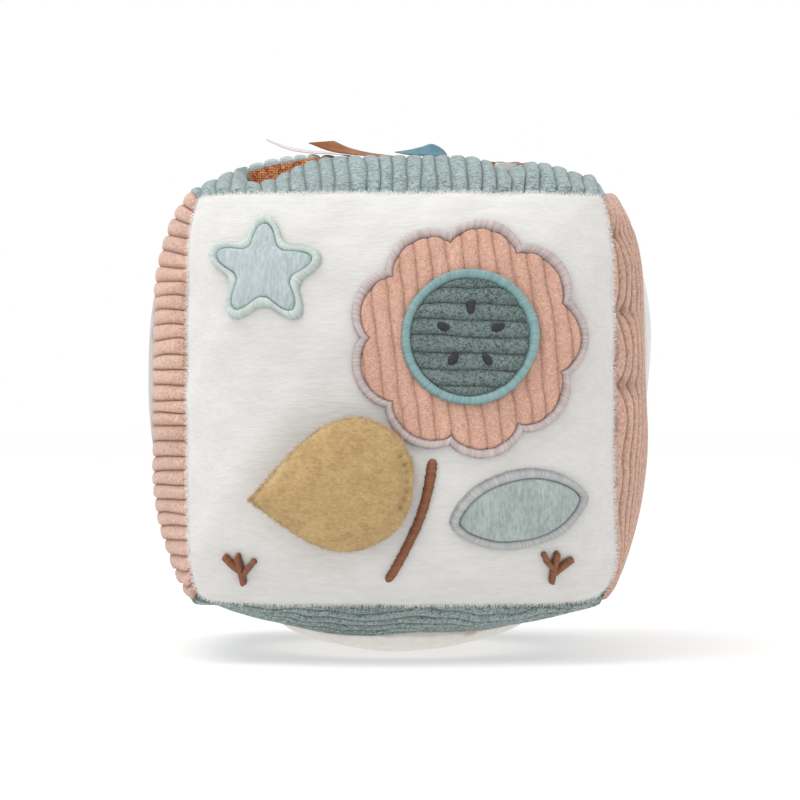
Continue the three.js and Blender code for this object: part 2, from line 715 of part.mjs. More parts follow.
// A ribbon: flat strip whose width turns from along the slit to across it as it leaves the mouth
function ribbonGeometry(stations, width) {
  const points = [];
  stations.forEach(({ place, across }, i) => {
    const before = stations[Math.max(i - 1, 0)].place;
    const after = stations[Math.min(i + 1, stations.length - 1)].place;
    const along = after.clone().sub(before).normalize();
    const thick = along.clone().cross(across).normalize().multiplyScalar(ribbonThickness / 2);
    const half = thick.clone().cross(along).normalize().multiplyScalar(width / 2);
    for (const [a, b] of [[-1, -1], [1, -1], [1, 1], [-1, 1]]) {
      points.push(place.clone().addScaledVector(half, a).addScaledVector(thick, b));
    }
  });
  const triangles = [[0, 1, 2], [0, 2, 3]];
  const quad = (a, b, c, d) => triangles.push([a, b, c], [a, c, d]);
  for (let i = 0; i < stations.length - 1; i += 1) {
    for (let side = 0; side < 4; side += 1) {
      const next = (side + 1) % 4;
      quad(4 * i + side, 4 * (i + 1) + side, 4 * (i + 1) + next, 4 * i + next);
    }
  }
  const end = 4 * (stations.length - 1);
  triangles.push([end, end + 2, end + 1], [end, end + 3, end + 2]);
  return closedGeometry(points, triangles);
}

function smooth(share) {
  const held = Math.min(Math.max(share, 0), 1);
  return held * held * (3 - 2 * held);
}

// Each ribbon stands up out of the mouth, twists a quarter turn, bends over and runs to the left
function ribbonStations(ribbon) {
  const tabY = slitOffset + pocketHalfAt(ribbon.root, 0) - layerGap - ribbonThickness;
  const lipZ = skinOver(faces.top, [ribbon.root, slitOffset], 0).z;
  const baseZ = lipZ + layerGap + ribbonTwist;
  const stations = [];
  const put = (x, y, z, turn, roll) => {
    const quarter = (turn * Math.PI) / 2;
    const level = Math.sin(quarter);
    const across = new THREE.Vector3(-Math.cos(quarter), level * Math.cos(roll), level * Math.sin(roll));
    stations.push({ place: new THREE.Vector3(x, y, z), across });
  };
  put(ribbon.root, tabY, lipZ - ribbonTab, 0, 0);
  for (let i = 0; i <= ribbonSteps.twist; i += 1) {
    const turn = i / ribbonSteps.twist;
    put(ribbon.root, tabY, lipZ + layerGap + ribbonTwist * turn, turn, 0);
  }
  for (let i = 1; i < ribbonSteps.bend; i += 1) {
    const bend = (Math.PI * i) / (2 * ribbonSteps.bend);
    put(ribbon.root - ribbonBend * (1 - Math.cos(bend)), tabY, baseZ + ribbonBend * Math.sin(bend), 1, 0);
  }
  for (let i = 0; i <= ribbonSteps.run; i += 1) {
    const share = i / ribbonSteps.run;
    const drift = smooth(share / ribbonDriftShare);
    const hump = ribbon.hump * Math.sin(Math.PI * share ** ribbonHumpPower);
    const lift = ribbon.rise * share ** ribbonRisePower + hump;
    const x = ribbon.root - ribbonBend - ribbon.reach * share;
    put(x, tabY + ribbon.lane * drift, baseZ + ribbonBend + lift, 1, ribbon.roll * drift);
  }
  return stations;
}

for (const ribbon of ribbons) {
  const strip = ribbonGeometry(ribbonStations(ribbon), ribbon.width);
  addPiece(`ribbon_${ribbon.name}`, strip, colours[`${ribbon.name}Satin`], 0.4);
}

// One more ribbon is still tucked in the pocket against its back, and only its end shows
const tuckedAcross = slitCentre + slitHalfLength - tuckedRibbon.fromSlitEnd;
const tuckedEdge = tuckedAcross + tuckedRibbon.width / 2;
const tuckedHalf = pocketHalfAt(tuckedEdge, tuckedRibbon.below);
const tuckedY = slitOffset + tuckedHalf - layerGap - ribbonThickness / 2;
const tuckedTop = skinOver(faces.top, [tuckedAcross, slitOffset], 0).z;
const tuckedPlaces = [-tuckedRibbon.below, -tuckedRibbon.below / 2, 0, tuckedRibbon.above];
const tuckedStations = tuckedPlaces.map((height) => ({
  place: new THREE.Vector3(tuckedAcross, tuckedY, tuckedTop + height),
  across: new THREE.Vector3(-1, 0, 0),
}));
addPiece("ribbon_tucked", ribbonGeometry(tuckedStations, tuckedRibbon.width), colours.whiteSatin, 0.4);

export default root;
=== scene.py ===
import json
import math
import bpy
import numpy as np
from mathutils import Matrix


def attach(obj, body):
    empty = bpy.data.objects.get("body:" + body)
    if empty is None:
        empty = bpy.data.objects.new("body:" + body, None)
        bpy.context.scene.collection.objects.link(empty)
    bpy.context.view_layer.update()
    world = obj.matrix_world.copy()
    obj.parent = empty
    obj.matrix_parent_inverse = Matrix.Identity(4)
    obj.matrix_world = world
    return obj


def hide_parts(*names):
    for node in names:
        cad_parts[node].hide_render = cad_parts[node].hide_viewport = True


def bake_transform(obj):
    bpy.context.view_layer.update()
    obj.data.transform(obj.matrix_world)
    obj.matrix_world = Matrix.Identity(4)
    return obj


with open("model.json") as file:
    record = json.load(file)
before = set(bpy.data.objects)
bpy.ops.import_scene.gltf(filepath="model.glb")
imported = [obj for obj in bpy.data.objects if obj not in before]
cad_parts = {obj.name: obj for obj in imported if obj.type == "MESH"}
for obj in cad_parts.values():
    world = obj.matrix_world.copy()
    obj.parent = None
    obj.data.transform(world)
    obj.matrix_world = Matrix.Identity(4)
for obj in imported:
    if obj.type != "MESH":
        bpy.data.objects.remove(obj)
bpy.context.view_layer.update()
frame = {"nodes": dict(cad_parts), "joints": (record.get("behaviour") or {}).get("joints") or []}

# Front panel: a square of short-pile white plush that carries the sewn picture.
# It is sewn edge to edge to four neighbours, so the fibre fill swells it most in the middle,
# and its seams and corners draw it in.
middle_height = 0.089
block_middle = np.array([0, 0, middle_height])
half_low, half_high = np.array([0.0719, 0.071, 0.0693]), np.array([0.0722, 0.071, 0.0700])
draw_low, draw_high = np.array([0.0025, 0.003, 0.0016]), np.array([0.0025, 0.003, 0.0008])
crown_low, crown_high = np.array([0.0169, 0.014, 0.0143]), np.array([0.0160, 0.014, 0.0168])
power_low, power_high = np.array([4.6, 3.1, 5.5]), np.array([4.6, 3.1, 4.9])
seam_bows = {
    (-1, 1): (0.0018, 0.0045, 0.0014, 0.0014, 60),
    (1, 1): (-0.0004, 0.002, 0.0014, 0.0016, 40),
    (-1, -1): (0.0022, 0.0004, 0.0012, 0.0032, 26),
    (1, -1): (-0.0045, 0.0005, 0.0004, 0.0054, 24),
}
lower_right_bulge = 0.0017
right_shoulder = 0.0028
seam_tuck = 0.0006
seam_reach = 0.0015
seam_edge = 0.0009
dent_waves = 7
faces = {
    "left": (0, -1, 1, 2),
    "right": (0, 1, 1, 2),
    "front": (1, -1, 0, 2),
    "back": (1, 1, 0, 2),
    "bottom": (2, -1, 0, 1),
    "top": (2, 1, 0, 1),
}


def grid(rows, columns):
    return np.meshgrid(rows, columns, indexing="ij")


def full_turn(count):
    return np.linspace(0, 2 * np.pi, count, endpoint=False)


def hump(value, place, width):
    """1 at a place, and falling softly to 0 over about twice a width."""
    return np.exp(-(((value - place) / width) ** 2))


def reach_of(unit):
    """How far the skin reaches along each axis, for places on a unit cube."""
    half, draw, crown, power = (
        np.where(unit < 0, low, high)
        for low, high in (
            (half_low, half_high), (draw_low, draw_high), (crown_low, crown_high), (power_low, power_high)
        )
    )
    swells = 1 - np.abs(unit) ** power
    one = swells[..., [1, 0, 0]]
    two = swells[..., [2, 2, 1]]
    crowned = one * two
    side, front, level = np.moveaxis(np.minimum(np.abs(unit), 1), -1, 0)
    left, right, above = unit[..., 0] < 0, unit[..., 0] > 0, unit[..., 2] > 0
    under = (1 - side**2.4) ** 1.9 * (1 - front**5)
    crowned[..., 2] = np.where(unit[..., 2] < 0, under, (1 - side**4.9) * swells[..., 1])
    rounds = np.where(above, np.where(left, 4.9, 4.4), np.where(left, 2.8, 2.2))
    crowned[..., 0] = (1 - level**rounds) * swells[..., 1]
    reach = half - draw + draw * (one + two) + (crown - draw) * crowned
    bowed_out = swells[..., 1] * (side * level) ** 6
    for ends, (bow_across, bow_up, tuck_across, tuck_up, sharp) in seam_bows.items():
        here = (np.sign(unit[..., 0]) == ends[0]) & (np.sign(unit[..., 2]) == ends[1])
        corner = (side * front) ** sharp * level**8
        reach[..., 0] += np.where(here, bowed_out * bow_across - tuck_across * corner, 0)
        reach[..., 2] += np.where(here, bowed_out * bow_up - tuck_up * corner, 0)
    bulge = lower_right_bulge * front**3 * hump(level, 0.8, 0.18)
    reach[..., 0] += np.where(right & ~above, bulge, 0)
    shoulder = right_shoulder * swells[..., 1] * level**6 * hump(side, 0.945, 0.05)
    reach[..., 2] += np.where(right & above, shoulder, 0)
    return reach


def stuffed_skin(unit, lift):
    """Places on the stuffed block for places on a unit cube, lifted off its skin by some metres."""
    return unit * (reach_of(unit) + np.asarray(lift)[..., None]) + block_middle


def unit_on(face, along, up):
    axis, end, along_axis, up_axis = faces[face]
    along, up = np.broadcast_arrays(along, up)
    unit = np.full(along.shape + (3,), float(end))
    unit[..., along_axis] = along
    unit[..., up_axis] = up
    return unit


def on_face(face, along, up, lift):
    unit = unit_on(face, along, up)
    return stuffed_skin(unit, np.broadcast_to(lift, unit.shape[:-1]))


def shares_over(face, along, up):
    """The two shares of a face under places given in metres from its middle."""
    *_, along_axis, up_axis = faces[face]
    along_share = np.zeros_like(along)
    up_share = np.zeros_like(up)
    for _ in range(8):
        reach = reach_of(unit_on(face, along_share, up_share))
        along_share, up_share = along / reach[..., along_axis], up / reach[..., up_axis]
    return along_share, up_share


def seam_gap(face, along, up):
    """How far places of a face lie from the nearest of its four seams."""
    *_, along_axis, up_axis = faces[face]
    gaps = (1 - np.abs(along)) * half_low[along_axis], (1 - np.abs(up)) * half_low[up_axis]
    return np.minimum(*gaps)


def sewn(face, along, up, relief):
    """A relief that comes down to the seams, which draw the cloth in."""
    gap = seam_gap(face, along, up)
    return relief * (1 - np.exp(-gap / seam_edge)) - seam_tuck * np.exp(-gap / seam_reach)


def dents(places, size, seed):
    """Soft swells of stuffed cloth, mostly from -1 to 1, as a few waves that cross by chance."""
    chance = np.random.default_rng(seed)
    total = np.zeros(places.shape[:-1])
    for _ in range(dent_waves):
        way = chance.normal(size=3)
        way *= 2 * np.pi * chance.uniform(0.6, 1.4) / (size * np.linalg.norm(way))
        total += np.sin(places @ way + chance.uniform(0, 2 * np.pi))
    return total / math.sqrt(dent_waves)


def meshed(name, places, polygons):
    """A smooth mesh over places, with polygons between them."""
    mesh = bpy.data.meshes.new(name)
    mesh.from_pydata(places.tolist(), [], polygons)
    mesh.polygons.foreach_set("use_smooth", np.ones(len(polygons), dtype=bool))
    thing = bpy.data.objects.new(name, mesh)
    bpy.context.scene.collection.objects.link(thing)
    return thing


def cloth(name, places, wrap=False, capped=(), kept=None, **marks):
    """A mesh over rows of places. Wrapped, each row is a loop; the capped rows are shut."""
    rows, columns = places.shape[:2]
    index = np.arange(rows * columns).reshape(rows, columns)
    if wrap:
        index = np.hstack([index, index[:, :1]])
    quads = np.stack([index[:-1, :-1], index[1:, :-1], index[1:, 1:], index[:-1, 1:]], axis=-1)
    quads = quads.reshape(-1, 4) if kept is None else quads[kept]
    flat = places.reshape(-1, 3)
    corners = flat[quads]
    facing = np.cross(corners[:, 2] - corners[:, 0], corners[:, 3] - corners[:, 1])
    outward = corners.mean(axis=1) - (flat.mean(axis=0) if capped else block_middle)
    turned = (facing * outward).sum() < 0
    polygons = (quads[:, ::-1] if turned else quads).tolist()
    for row in capped:
        ring = index[row, :columns].tolist()
        polygons.append(ring if turned == (row == 0) else ring[::-1])
    thing = meshed(name, flat, polygons)
    for mark, values in marks.items():
        layer = thing.data.attributes.new(mark, "FLOAT", "POINT")
        layer.data.foreach_set("value", np.broadcast_to(values, (rows, columns)).astype(np.float32).ravel())
    return thing


def place_on(thing, body, slot, finish, *nodes):
    """Gives a piece its finish, lets it ride on a body and stand for its CAD nodes."""
    thing.data.materials.append(finish)
    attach(thing, body)
    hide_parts(*nodes)
    return thing


class Wire:
    """A socket of a finish. Sums on it add Math nodes, and node() adds a node of any other kind."""

    def __init__(self, tree, socket=None):
        self.tree = tree
        self.socket = socket

    def node(self, kind, settings=(), inputs=(), output=0):
        made = self.tree.nodes.new(kind)
        for key, value in dict(settings).items():
            if key == "stops":
                while len(made.color_ramp.elements) < len(value):
                    made.color_ramp.elements.new(0.5)
                for element, (position, colour) in zip(made.color_ramp.elements, value):
                    element.position = position
                    element.color = colour
            else:
                setattr(made, key, value)
        for key, value in dict(inputs).items():
            if isinstance(value, Wire):
                self.tree.links.new(value.socket, made.inputs[key])
            else:
                made.inputs[key].default_value = value
        return Wire(self.tree, made.outputs[output])

    def sum(self, operation, *values):
        return self.node("ShaderNodeMath", {"operation": operation}, enumerate(values))

    def __add__(self, other):
        return self.sum("ADD", self, other)

    def __mul__(self, other):
        return self.sum("MULTIPLY", self, other)

    def __sub__(self, other):
        return self.sum("SUBTRACT", self, other)

    def __rsub__(self, other):
        return self.sum("SUBTRACT", other, self)

    def between(self, low, high):
        """0 below low, 1 above high, and a straight rise between them."""
        return self.node("ShaderNodeMapRange", {}, {"Value": self, "From Min": low, "From Max": high})

    def mix(self, low, high):
        """A colour that runs from low, where the value is 0, to high, where it is 1."""
        return self.node("ShaderNodeMix", {"data_type": "RGBA"}, {0: self, 6: low, 7: high}, 2)

    def noise(self, size, detail=2.0, roughness=0.5):
        """Noise over places, in grains of about this size in metres."""
        inputs = {"Vector": self, "Scale": 1 / size, "Detail": detail, "Roughness": roughness}
        return self.node("ShaderNodeTexNoise", {}, inputs)

    def mark(self, name):
        """A value that the mesh of a piece holds at each of its places."""
        return self.node("ShaderNodeAttribute", {"attribute_name": name}, output="Fac")

    def scaled(self, x, y, z):
        settings = {"operation": "MULTIPLY"}
        return self.node("ShaderNodeVectorMath", settings, {0: self, 1: (x, y, z)})


def rgb(red, green, blue):
    """A colour as the eye names it, 0 to 255, for a shader that works in light."""
    shares = [value / 255 for value in (red, green, blue)]
    return tuple(s / 12.92 if s <= 0.04045 else ((s + 0.055) / 1.055) ** 2.4 for s in shares) + (1.0,)


def start_finish(name, **uniform):
    """A new finish, its shader and the places on its piece; uniform gives what is alike all over."""
    finish = bpy.data.materials.new(name)
    finish.use_nodes = True
    shader = finish.node_tree.nodes["Principled BSDF"]
    for key, value in uniform.items():
        shader.inputs[key.replace("_", " ")].default_value = value
    place = Wire(finish.node_tree).node("ShaderNodeTexCoord", output="Object")
    return finish, shader, place


def feed(shader, colour=None, roughness=None, relief=None, relief_depth=0.0003):
    tree = shader.id_data
    if colour:
        tree.links.new(colour.socket, shader.inputs["Base Color"])
    if roughness:
        tree.links.new(roughness.socket, shader.inputs["Roughness"])
    if relief:
        bump = relief.node("ShaderNodeBump", {}, {"Height": relief, "Distance": relief_depth})
        tree.links.new(bump.socket, shader.inputs["Normal"])


def plush_finish(name, light, shade, nap, cloudy=0.15, relief=0.0005, sheen=0.35):
    """Short pile: fine fibres combed along the nap, in patches that lean light and dark."""
    finish, shader, place = start_finish(
        name, Roughness=0.95, Sheen_Weight=sheen, Sheen_Roughness=0.5, Specular_IOR_Level=0.15
    )
    combed = place.scaled(*nap)
    fibres = combed.noise(0.0008, 3, 0.6)
    tufts = combed.noise(0.003, 2, 0.6)
    clouds = place.noise(0.012, 3, 0.55)
    lean = fibres * 0.5 + tufts * (0.5 - cloudy) + clouds * cloudy
    feed(shader, lean.between(0.4, 0.6).mix(shade, light), None, fibres * 0.6 + tufts * 0.4, relief)
    return finish


white_plush = plush_finish("white plush", rgb(210, 209, 206), rgb(203, 201, 198), (0.2, 1, 1), 0.12, 0.00035)
front_steps = 170
front_dent = 0.0011
front_dent_size = 0.07
front_fine_dent = 0.0003
front_roll = 0.0007
front_roll_reach = 0.003
fill_reach = 0.02
even = np.linspace(-1, 1, front_steps)
toward_seams = 0.55 * even + 0.45 * np.sin(even * np.pi / 2)
front_up, front_along = grid(toward_seams, toward_seams)


def front_lift(along, up):
    """How the front panel's cloth lies off the plain skin: drawn in at the seams, softly dented."""
    flat = on_face("front", along, up, 0.0)
    gap = seam_gap("front", along, up)
    broad = front_dent * dents(flat, front_dent_size, 11) * (1 - np.exp(-gap / fill_reach))
    roll = front_roll * np.exp(-gap / front_roll_reach)
    return sewn("front", along, up, broad + roll + front_fine_dent * dents(flat, 0.02, 12))


front = cloth("front_cloth", on_face("front", front_along, front_up, front_lift(front_along, front_up)))
place_on(front, "block", "white_plush", white_plush, "front_panel")

# Pile along the seams: where the plush is folded into a seam, its fibres stand out over the
# next panel as a soft white fringe. The fibres are loose polyester, about a millimetre long.
fringe_length = 0.0016
fringe_thick = 0.0001
fringe_depth = 0.014
fringe_per_metre = 6500
hair_steps = 3


def fibres(name, roots, ways, length, thick, seed, spread=0.5):
    """Loose fibres as thin three-sided hairs that leave their roots along their ways and bend."""
    chance = np.random.default_rng(seed)
    count = len(roots)
    ways = ways + spread * chance.normal(size=(count, 3))
    ways /= np.linalg.norm(ways, axis=1, keepdims=True)
    bend = np.cross(ways, chance.normal(size=(count, 3)))
    bend /= np.linalg.norm(bend, axis=1, keepdims=True)
    other = np.cross(ways, bend)
    lengths = length * chance.uniform(0.45, 1.2, size=(count, 1, 1, 1))
    run = np.linspace(0, 1, hair_steps + 1)[None, :, None, None]
    turn = full_turn(3)[None, None, :, None]
    line = roots[:, None, None] + lengths * (ways[:, None, None] * run + 0.35 * bend[:, None, None] * run**2)
    ring = bend[:, None, None] * np.cos(turn) + other[:, None, None] * np.sin(turn)
    places = (line + thick * (1 - 0.85 * run) * ring).reshape(-1, 3)
    index = np.arange(len(places)).reshape(count, hair_steps + 1, 3)
    after = np.roll(index, -1, axis=2)
    quads = np.stack([index[:, :-1], after[:, :-1], after[:, 1:], index[:, 1:]], axis=-1)
    return meshed(name, places, quads.reshape(-1, 4).tolist())


def along_seams(face, inset, lift, per_metre, seed):
    """Places and outward ways along the four seams of a face, a little inside them."""
    axis, end, along_axis, up_axis = faces[face]
    chance = np.random.default_rng(seed)
    count = int(2 * per_metre * (half_low[along_axis] + half_low[up_axis]))
    run = chance.uniform(-1, 1, count)
    depth = 1 - inset * chance.uniform(0, 1, count)
    roots, ways = [], []
    for fixed, sign in ((0, -1), (0, 1), (1, -1), (1, 1)):
        pair = [run, run]
        pair[fixed] = sign * depth
        out = [0.0, 0.0, 0.0]
        out[(along_axis, up_axis)[fixed]] = sign
        out[axis] = 0.3 * end
        roots.append(on_face(face, pair[0], pair[1], lift(pair[0], pair[1]) - 0.0002))
        ways.append(np.tile(out, (count, 1)))
        run = chance.permutation(run)
    return np.concatenate(roots), np.concatenate(ways)


def drifting_finish(name, light, shade, size, **uniform):
    """A plain finish whose colour drifts from shade to light in clouds of about this size."""
    finish, shader, place = start_finish(name, **uniform)
    feed(shader, place.noise(size).between(0.3, 0.7).mix(shade, light))
    return finish


fringe_roots, fringe_ways = along_seams("front", fringe_depth, front_lift, fringe_per_metre, 21)
fringe = fibres("front_pile", fringe_roots, fringe_ways, fringe_length, fringe_thick, 22)
# The fringe's fibres are the white plush's own, coloured much lighter than the plush: painted light, so the
# fringe stays bright where its roots lie in shade.
fringe_painted_light_finish = drifting_finish(
    "white pile", rgb(250, 250, 249), rgb(240, 239, 237), 0.004,
    Roughness=0.9, Sheen_Weight=0.3, Specular_IOR_Level=0.1,
)
place_on(fringe, "block", "white_plush", fringe_painted_light_finish)

# Back panel: a plain square of off-white cotton with a small scattered print, guessed from the
# same cloth under the block. It is woven plain, and sewn in like the front.
cotton_thread = 0.0004
back_dent = 0.001


def cotton_finish(name, ground, spot=0.017):
    """Plain weave in fine threads, printed with scattered soft pink spots and small brown rings."""
    finish, shader, place = start_finish(
        name, Roughness=0.88, Sheen_Weight=0.12, Sheen_Roughness=0.5, Specular_IOR_Level=0.2
    )
    weave = place.node("ShaderNodeTexVoronoi", {}, {"Vector": place, "Scale": 1 / cotton_thread})
    slub = place.noise(0.004, 3)
    scatter = {"Vector": place, "Scale": 1 / spot, "Randomness": 0.8}
    near = place.node("ShaderNodeTexVoronoi", {}, scatter)
    kind = place.node("ShaderNodeTexVoronoi", {}, scatter, "Color")
    kind = kind.node("ShaderNodeSeparateColor", {}, {0: kind})
    near = near + (slub - 0.5) * 0.1
    pink = (1 - near.between(0.17, 0.23)) * kind.between(0.4, 0.42)
    brown = near.between(0.05, 0.065) * (1 - near.between(0.09, 0.105)) * (1 - kind.between(0.38, 0.4))
    cloth_tone = slub.between(0.35, 0.65).mix(tuple(0.93 * c for c in ground[:3]) + (1,), ground)
    printed = (pink * 0.75).mix(cloth_tone, rgb(232, 200, 190))
    feed(shader, (brown * 0.75).mix(printed, rgb(160, 120, 98)), None, weave, 0.00012)
    return finish


printed_cotton = cotton_finish("printed cotton", rgb(247, 243, 236))
back_gap = seam_gap("back", front_along, front_up)
back_dents = back_dent * dents(on_face("back", front_along, front_up, 0.0), 0.06, 31)
back_lift = sewn("back", front_along, front_up, back_dents * (1 - np.exp(-back_gap / fill_reach)))
back = cloth("back_cloth", on_face("back", front_along, front_up, back_lift))
place_on(back, "block", "printed_cotton", printed_cotton, "back_panel")

# Corduroy panels: wide-ribbed cloth in dusty pink on both sides and grey sage above and below.
# Each rib is a round wale of looped pile with a narrow groove beside it; the seams crush and
# pucker the ribs. The ribs run in depth on the left, upright on the right and across underneath.
wale_count = 28
wale_steps = 10
wale_run_steps = 110
wale_height = 0.0012
wale_round = 0.4
wale_top = 0.0002
pucker = 0.0007
pucker_size = 0.018
pucker_reach = 0.012
panel_dent = 0.0008
panel_dent_size = 0.05
gather_half_run = 0.07
gather_start = 0.005
gather_pitch = 0.0262
gather_depth = 0.0012


def corduroy_finish(name, light, shade, groove_shade, rows=(1, 1, 1), deep=0.75):
    """Looped pile in fine grains, with painted shade in the grooves and painted light on the rolled back lip
    where the slit gapes and its pile opens.
    """
    finish, shader, place = start_finish(
        name, Roughness=0.95, Sheen_Weight=0.25, Sheen_Roughness=0.5, Specular_IOR_Level=0.15
    )
    loops = place.scaled(*rows).noise(0.00055, 2, 0.6)
    tufts = place.scaled(*rows).noise(0.0014, 2, 0.6)
    worn = place.noise(0.03, 2)
    tone = (loops * 0.6 + tufts * 0.3 + worn * 0.1).between(0.4, 0.6).mix(shade, light)
    # Painted light: where the lip mark is set, the colour is lightened towards a pale sage, partly for the
    # pile opening over the fold.
    tone = (place.mark("opened") * 0.5).mix(tone, rgb(204, 216, 214))
    # Painted shade: the marked grooves, gathers and seam are darkened towards the groove colour.
    feed(shader, (place.mark("hollow") * deep).mix(tone, groove_shade), None, loops * 0.7 + tufts * 0.3, 0.0005)
    return finish


pink_corduroy = corduroy_finish("pink corduroy", rgb(218, 180, 160), rgb(168, 130, 114), rgb(132, 92, 78))
# Underneath, the painted shade in the grooves is darker and stronger than on the top.
sage_corduroy = corduroy_finish(
    "sage corduroy", rgb(172, 187, 184), rgb(92, 106, 104), rgb(46, 60, 58), deep=0.9
)
sage_above = corduroy_finish(
    "sage corduroy above", rgb(162, 178, 178), rgb(86, 102, 102), rgb(76, 92, 92), (0.45, 1, 1), 0.45
)


def wale(phase):
    """Height of a wale, 0 in the grooves and 1 on its round top; phase counts wales."""
    return np.abs(np.sin(np.pi * phase)) ** wale_round


def gather_wave(run):
    """A wave up the right panel that is 0 wherever the thread gathers it."""
    return np.sin(np.pi * (run * gather_half_run - gather_start) / gather_pitch)


def gathers(face, across, run):
    """Small hollows where the thread gathers the right panel, between the bows of its wales."""
    if face != "right":
        return 0 * run
    return hump(gather_wave(run), 0, 0.3) * hump(across, -0.93, 0.1) / (1 + np.exp(-(run + 0.1) * 12))


def crush(face, run):
    """How much is left of the wales; on the right they are pressed flat where they turn over the top."""
    return 1 - 0.7 * hump(run, 1, 0.16) * (face == "right")


def ribbed(face, ribs_run_along, wander, seed):
    """Rows of places over a corduroy panel, one row to each step across its wales."""
    phase, run = grid(
        np.linspace(-1, wale_count + 1, (wale_count + 2) * wale_steps + 1),
        np.linspace(-1, 1, wale_run_steps),
    )
    run = 0.7 * run + 0.3 * np.sin(run * np.pi / 2)
    across = 2 * phase / wale_count - 1
    across = np.clip(across + 2 * wander(across, run) / wale_count, -1, 1)
    along, up = (run, across) if ribs_run_along else (across, run)
    plain = on_face(face, along, up, 0.0)
    gap = seam_gap(face, along, up)
    puckers = pucker * np.exp(-gap / pucker_reach) * dents(plain, pucker_size, seed)
    puckers += panel_dent * dents(plain, panel_dent_size, seed + 1)
    gathered = gathers(face, across, run)
    depth = (1 - wale(phase)) * crush(face, run)
    # Painted shadow: a dark line along the bottom seam, under the white pile that hangs over it.
    painted_seam_shadow = 0.7 * np.exp(-gap / 0.0012) * (face == "bottom")
    # Painted shade, as a mark on the mesh: deepest in the grooves and the gathers, and along the bottom
    # seam.
    hollow = np.minimum(depth**1.5 + 0.7 * gathered + painted_seam_shadow, 1)
    lift = sewn(face, along, up, wale_top - wale_height * depth + puckers)
    return along, up, lift - gather_depth * gathered, hollow


def steady(across, run):
    """Wales that keep nearly straight, in shares of a wale."""
    places = np.stack([across * 3, run, 0 * run], axis=-1)
    return (0.1 * dents(places, 0.9, 41) + 0.04 * dents(places * (3, 1, 1), 0.4, 42)) * (1 - across**8)


def fanned(across, run):
    """Wales that spread upwards over the swell of the panel, the more the higher they lie."""
    spread = 0.82 * np.maximum(across, 0) ** 0.8 * (1 - np.abs(run) ** 2.5)
    return steady(across, run) + spread * (1 - across**8)


def bowed(across, run):
    """Wales that run in bows from pucker to pucker, most of all near the top of the front seam."""
    bows = np.abs(gather_wave(run)) ** 0.8 - 0.68
    depth = 0.15 + 0.75 / (1 + np.exp(-(run + 0.05) * 9))
    fading = 0.2 + 0.8 / (1 + np.exp((across - 0.1) * 6))
    return depth * fading * bows + 0.12 * np.sin(9 * run + 2 * across)


def wandering(across, run):
    """Wales that wave underneath, drawn closer together along the front seam."""
    places = np.stack([across * 0.5, run, 0 * run], axis=-1)
    drawn = 1.8 * np.clip(np.minimum((across + 1) / 0.4, (1 - across) / 1.6), 0, 1)
    return 0.4 * dents(places, 0.5, 44) + 0.1 * dents(places, 0.2, 45) - drawn


def off_round(face, along, up):
    """How far, in radii, the places of a panel lie from the middle of its round inset."""
    *_, along_axis, up_axis = faces[face]
    middle, radius = insets[face]["middle"], insets[face]["radius"]
    reach = reach_of(unit_on(face, along, up))
    aside, above = along * reach[..., along_axis] - middle[0], up * reach[..., up_axis] - middle[1]
    return np.hypot(aside, above) / radius


hem_draw = 0.0012
panel_dip = 0.0014
panel_tuck = 0.0022
insets = {
    "left": {"radius": 0.034, "middle": (0.001, 0.010), "proud": 0.0003, "sunk": 0.0010, "hem": 0.0045},
    "right": {"radius": 0.029, "middle": (-0.005, 0.024), "proud": 0.0009, "sunk": 0.0014, "hem": 0.006},
    "bottom": {"radius": 0.048, "middle": (0.0, 0.001), "proud": 0.0057, "sunk": 0.0, "hem": 0.0014},
}
panels = {
    "left": (True, fanned, pink_corduroy, "pink_corduroy"),
    "right": (False, bowed, pink_corduroy, "pink_corduroy"),
    "bottom": (True, wandering, sage_corduroy, "sage_corduroy"),
}
for number, (face, (ribs_run_along, wander, finish, slot)) in enumerate(panels.items()):
    along, up, lift, hollow = ribbed(face, ribs_run_along, wander, 40 + 3 * number)
    inset = insets[face]
    off = off_round(face, along, up)
    hem = np.abs(off - 1) * inset["radius"]
    lift = lift - (hem_draw + 0.8 * inset["sunk"]) * np.exp(-hem / inset["hem"])
    lift = lift - panel_dip * np.clip((1 - off) * inset["radius"] / panel_dip, 0, 1)
    kept = np.maximum(off[:-1, :-1], off[1:, 1:]) > 1 - panel_tuck / inset["radius"]
    panel = cloth(f"{face}_corduroy", on_face(face, along, up, lift), kept=kept, hollow=hollow)
    place_on(panel, "block", slot, finish, f"{face}_panel")

# Round insets: discs of the printed cotton let into the corduroy panels, with the fill behind
# them. Their sewn rims tuck under the corduroy, and the one underneath swells out and carries
# the block, so its middle is pressed flat on the floor.
inset_rings = 36
inset_columns = 160
rim_reach = 0.0012
rim_draw = 0.0004
rim_under = 0.0035
tuck_height = 0.0003
tuck_count = 23
round_dent = 0.0003
# The discs on the sides are the same printed cotton with a darker ground: painted shade, the left disc
# darker than the right.
inset_cotton = {
    "left": cotton_finish("printed cotton on the left", rgb(184, 182, 182), spot=0.025),
    "right": cotton_finish("printed cotton on the right", rgb(222, 221, 220), spot=0.025),
    "bottom": printed_cotton,
}


def spot_at(middle, radius, angle):
    return middle[0] + radius * np.cos(angle), middle[1] + radius * np.sin(angle)


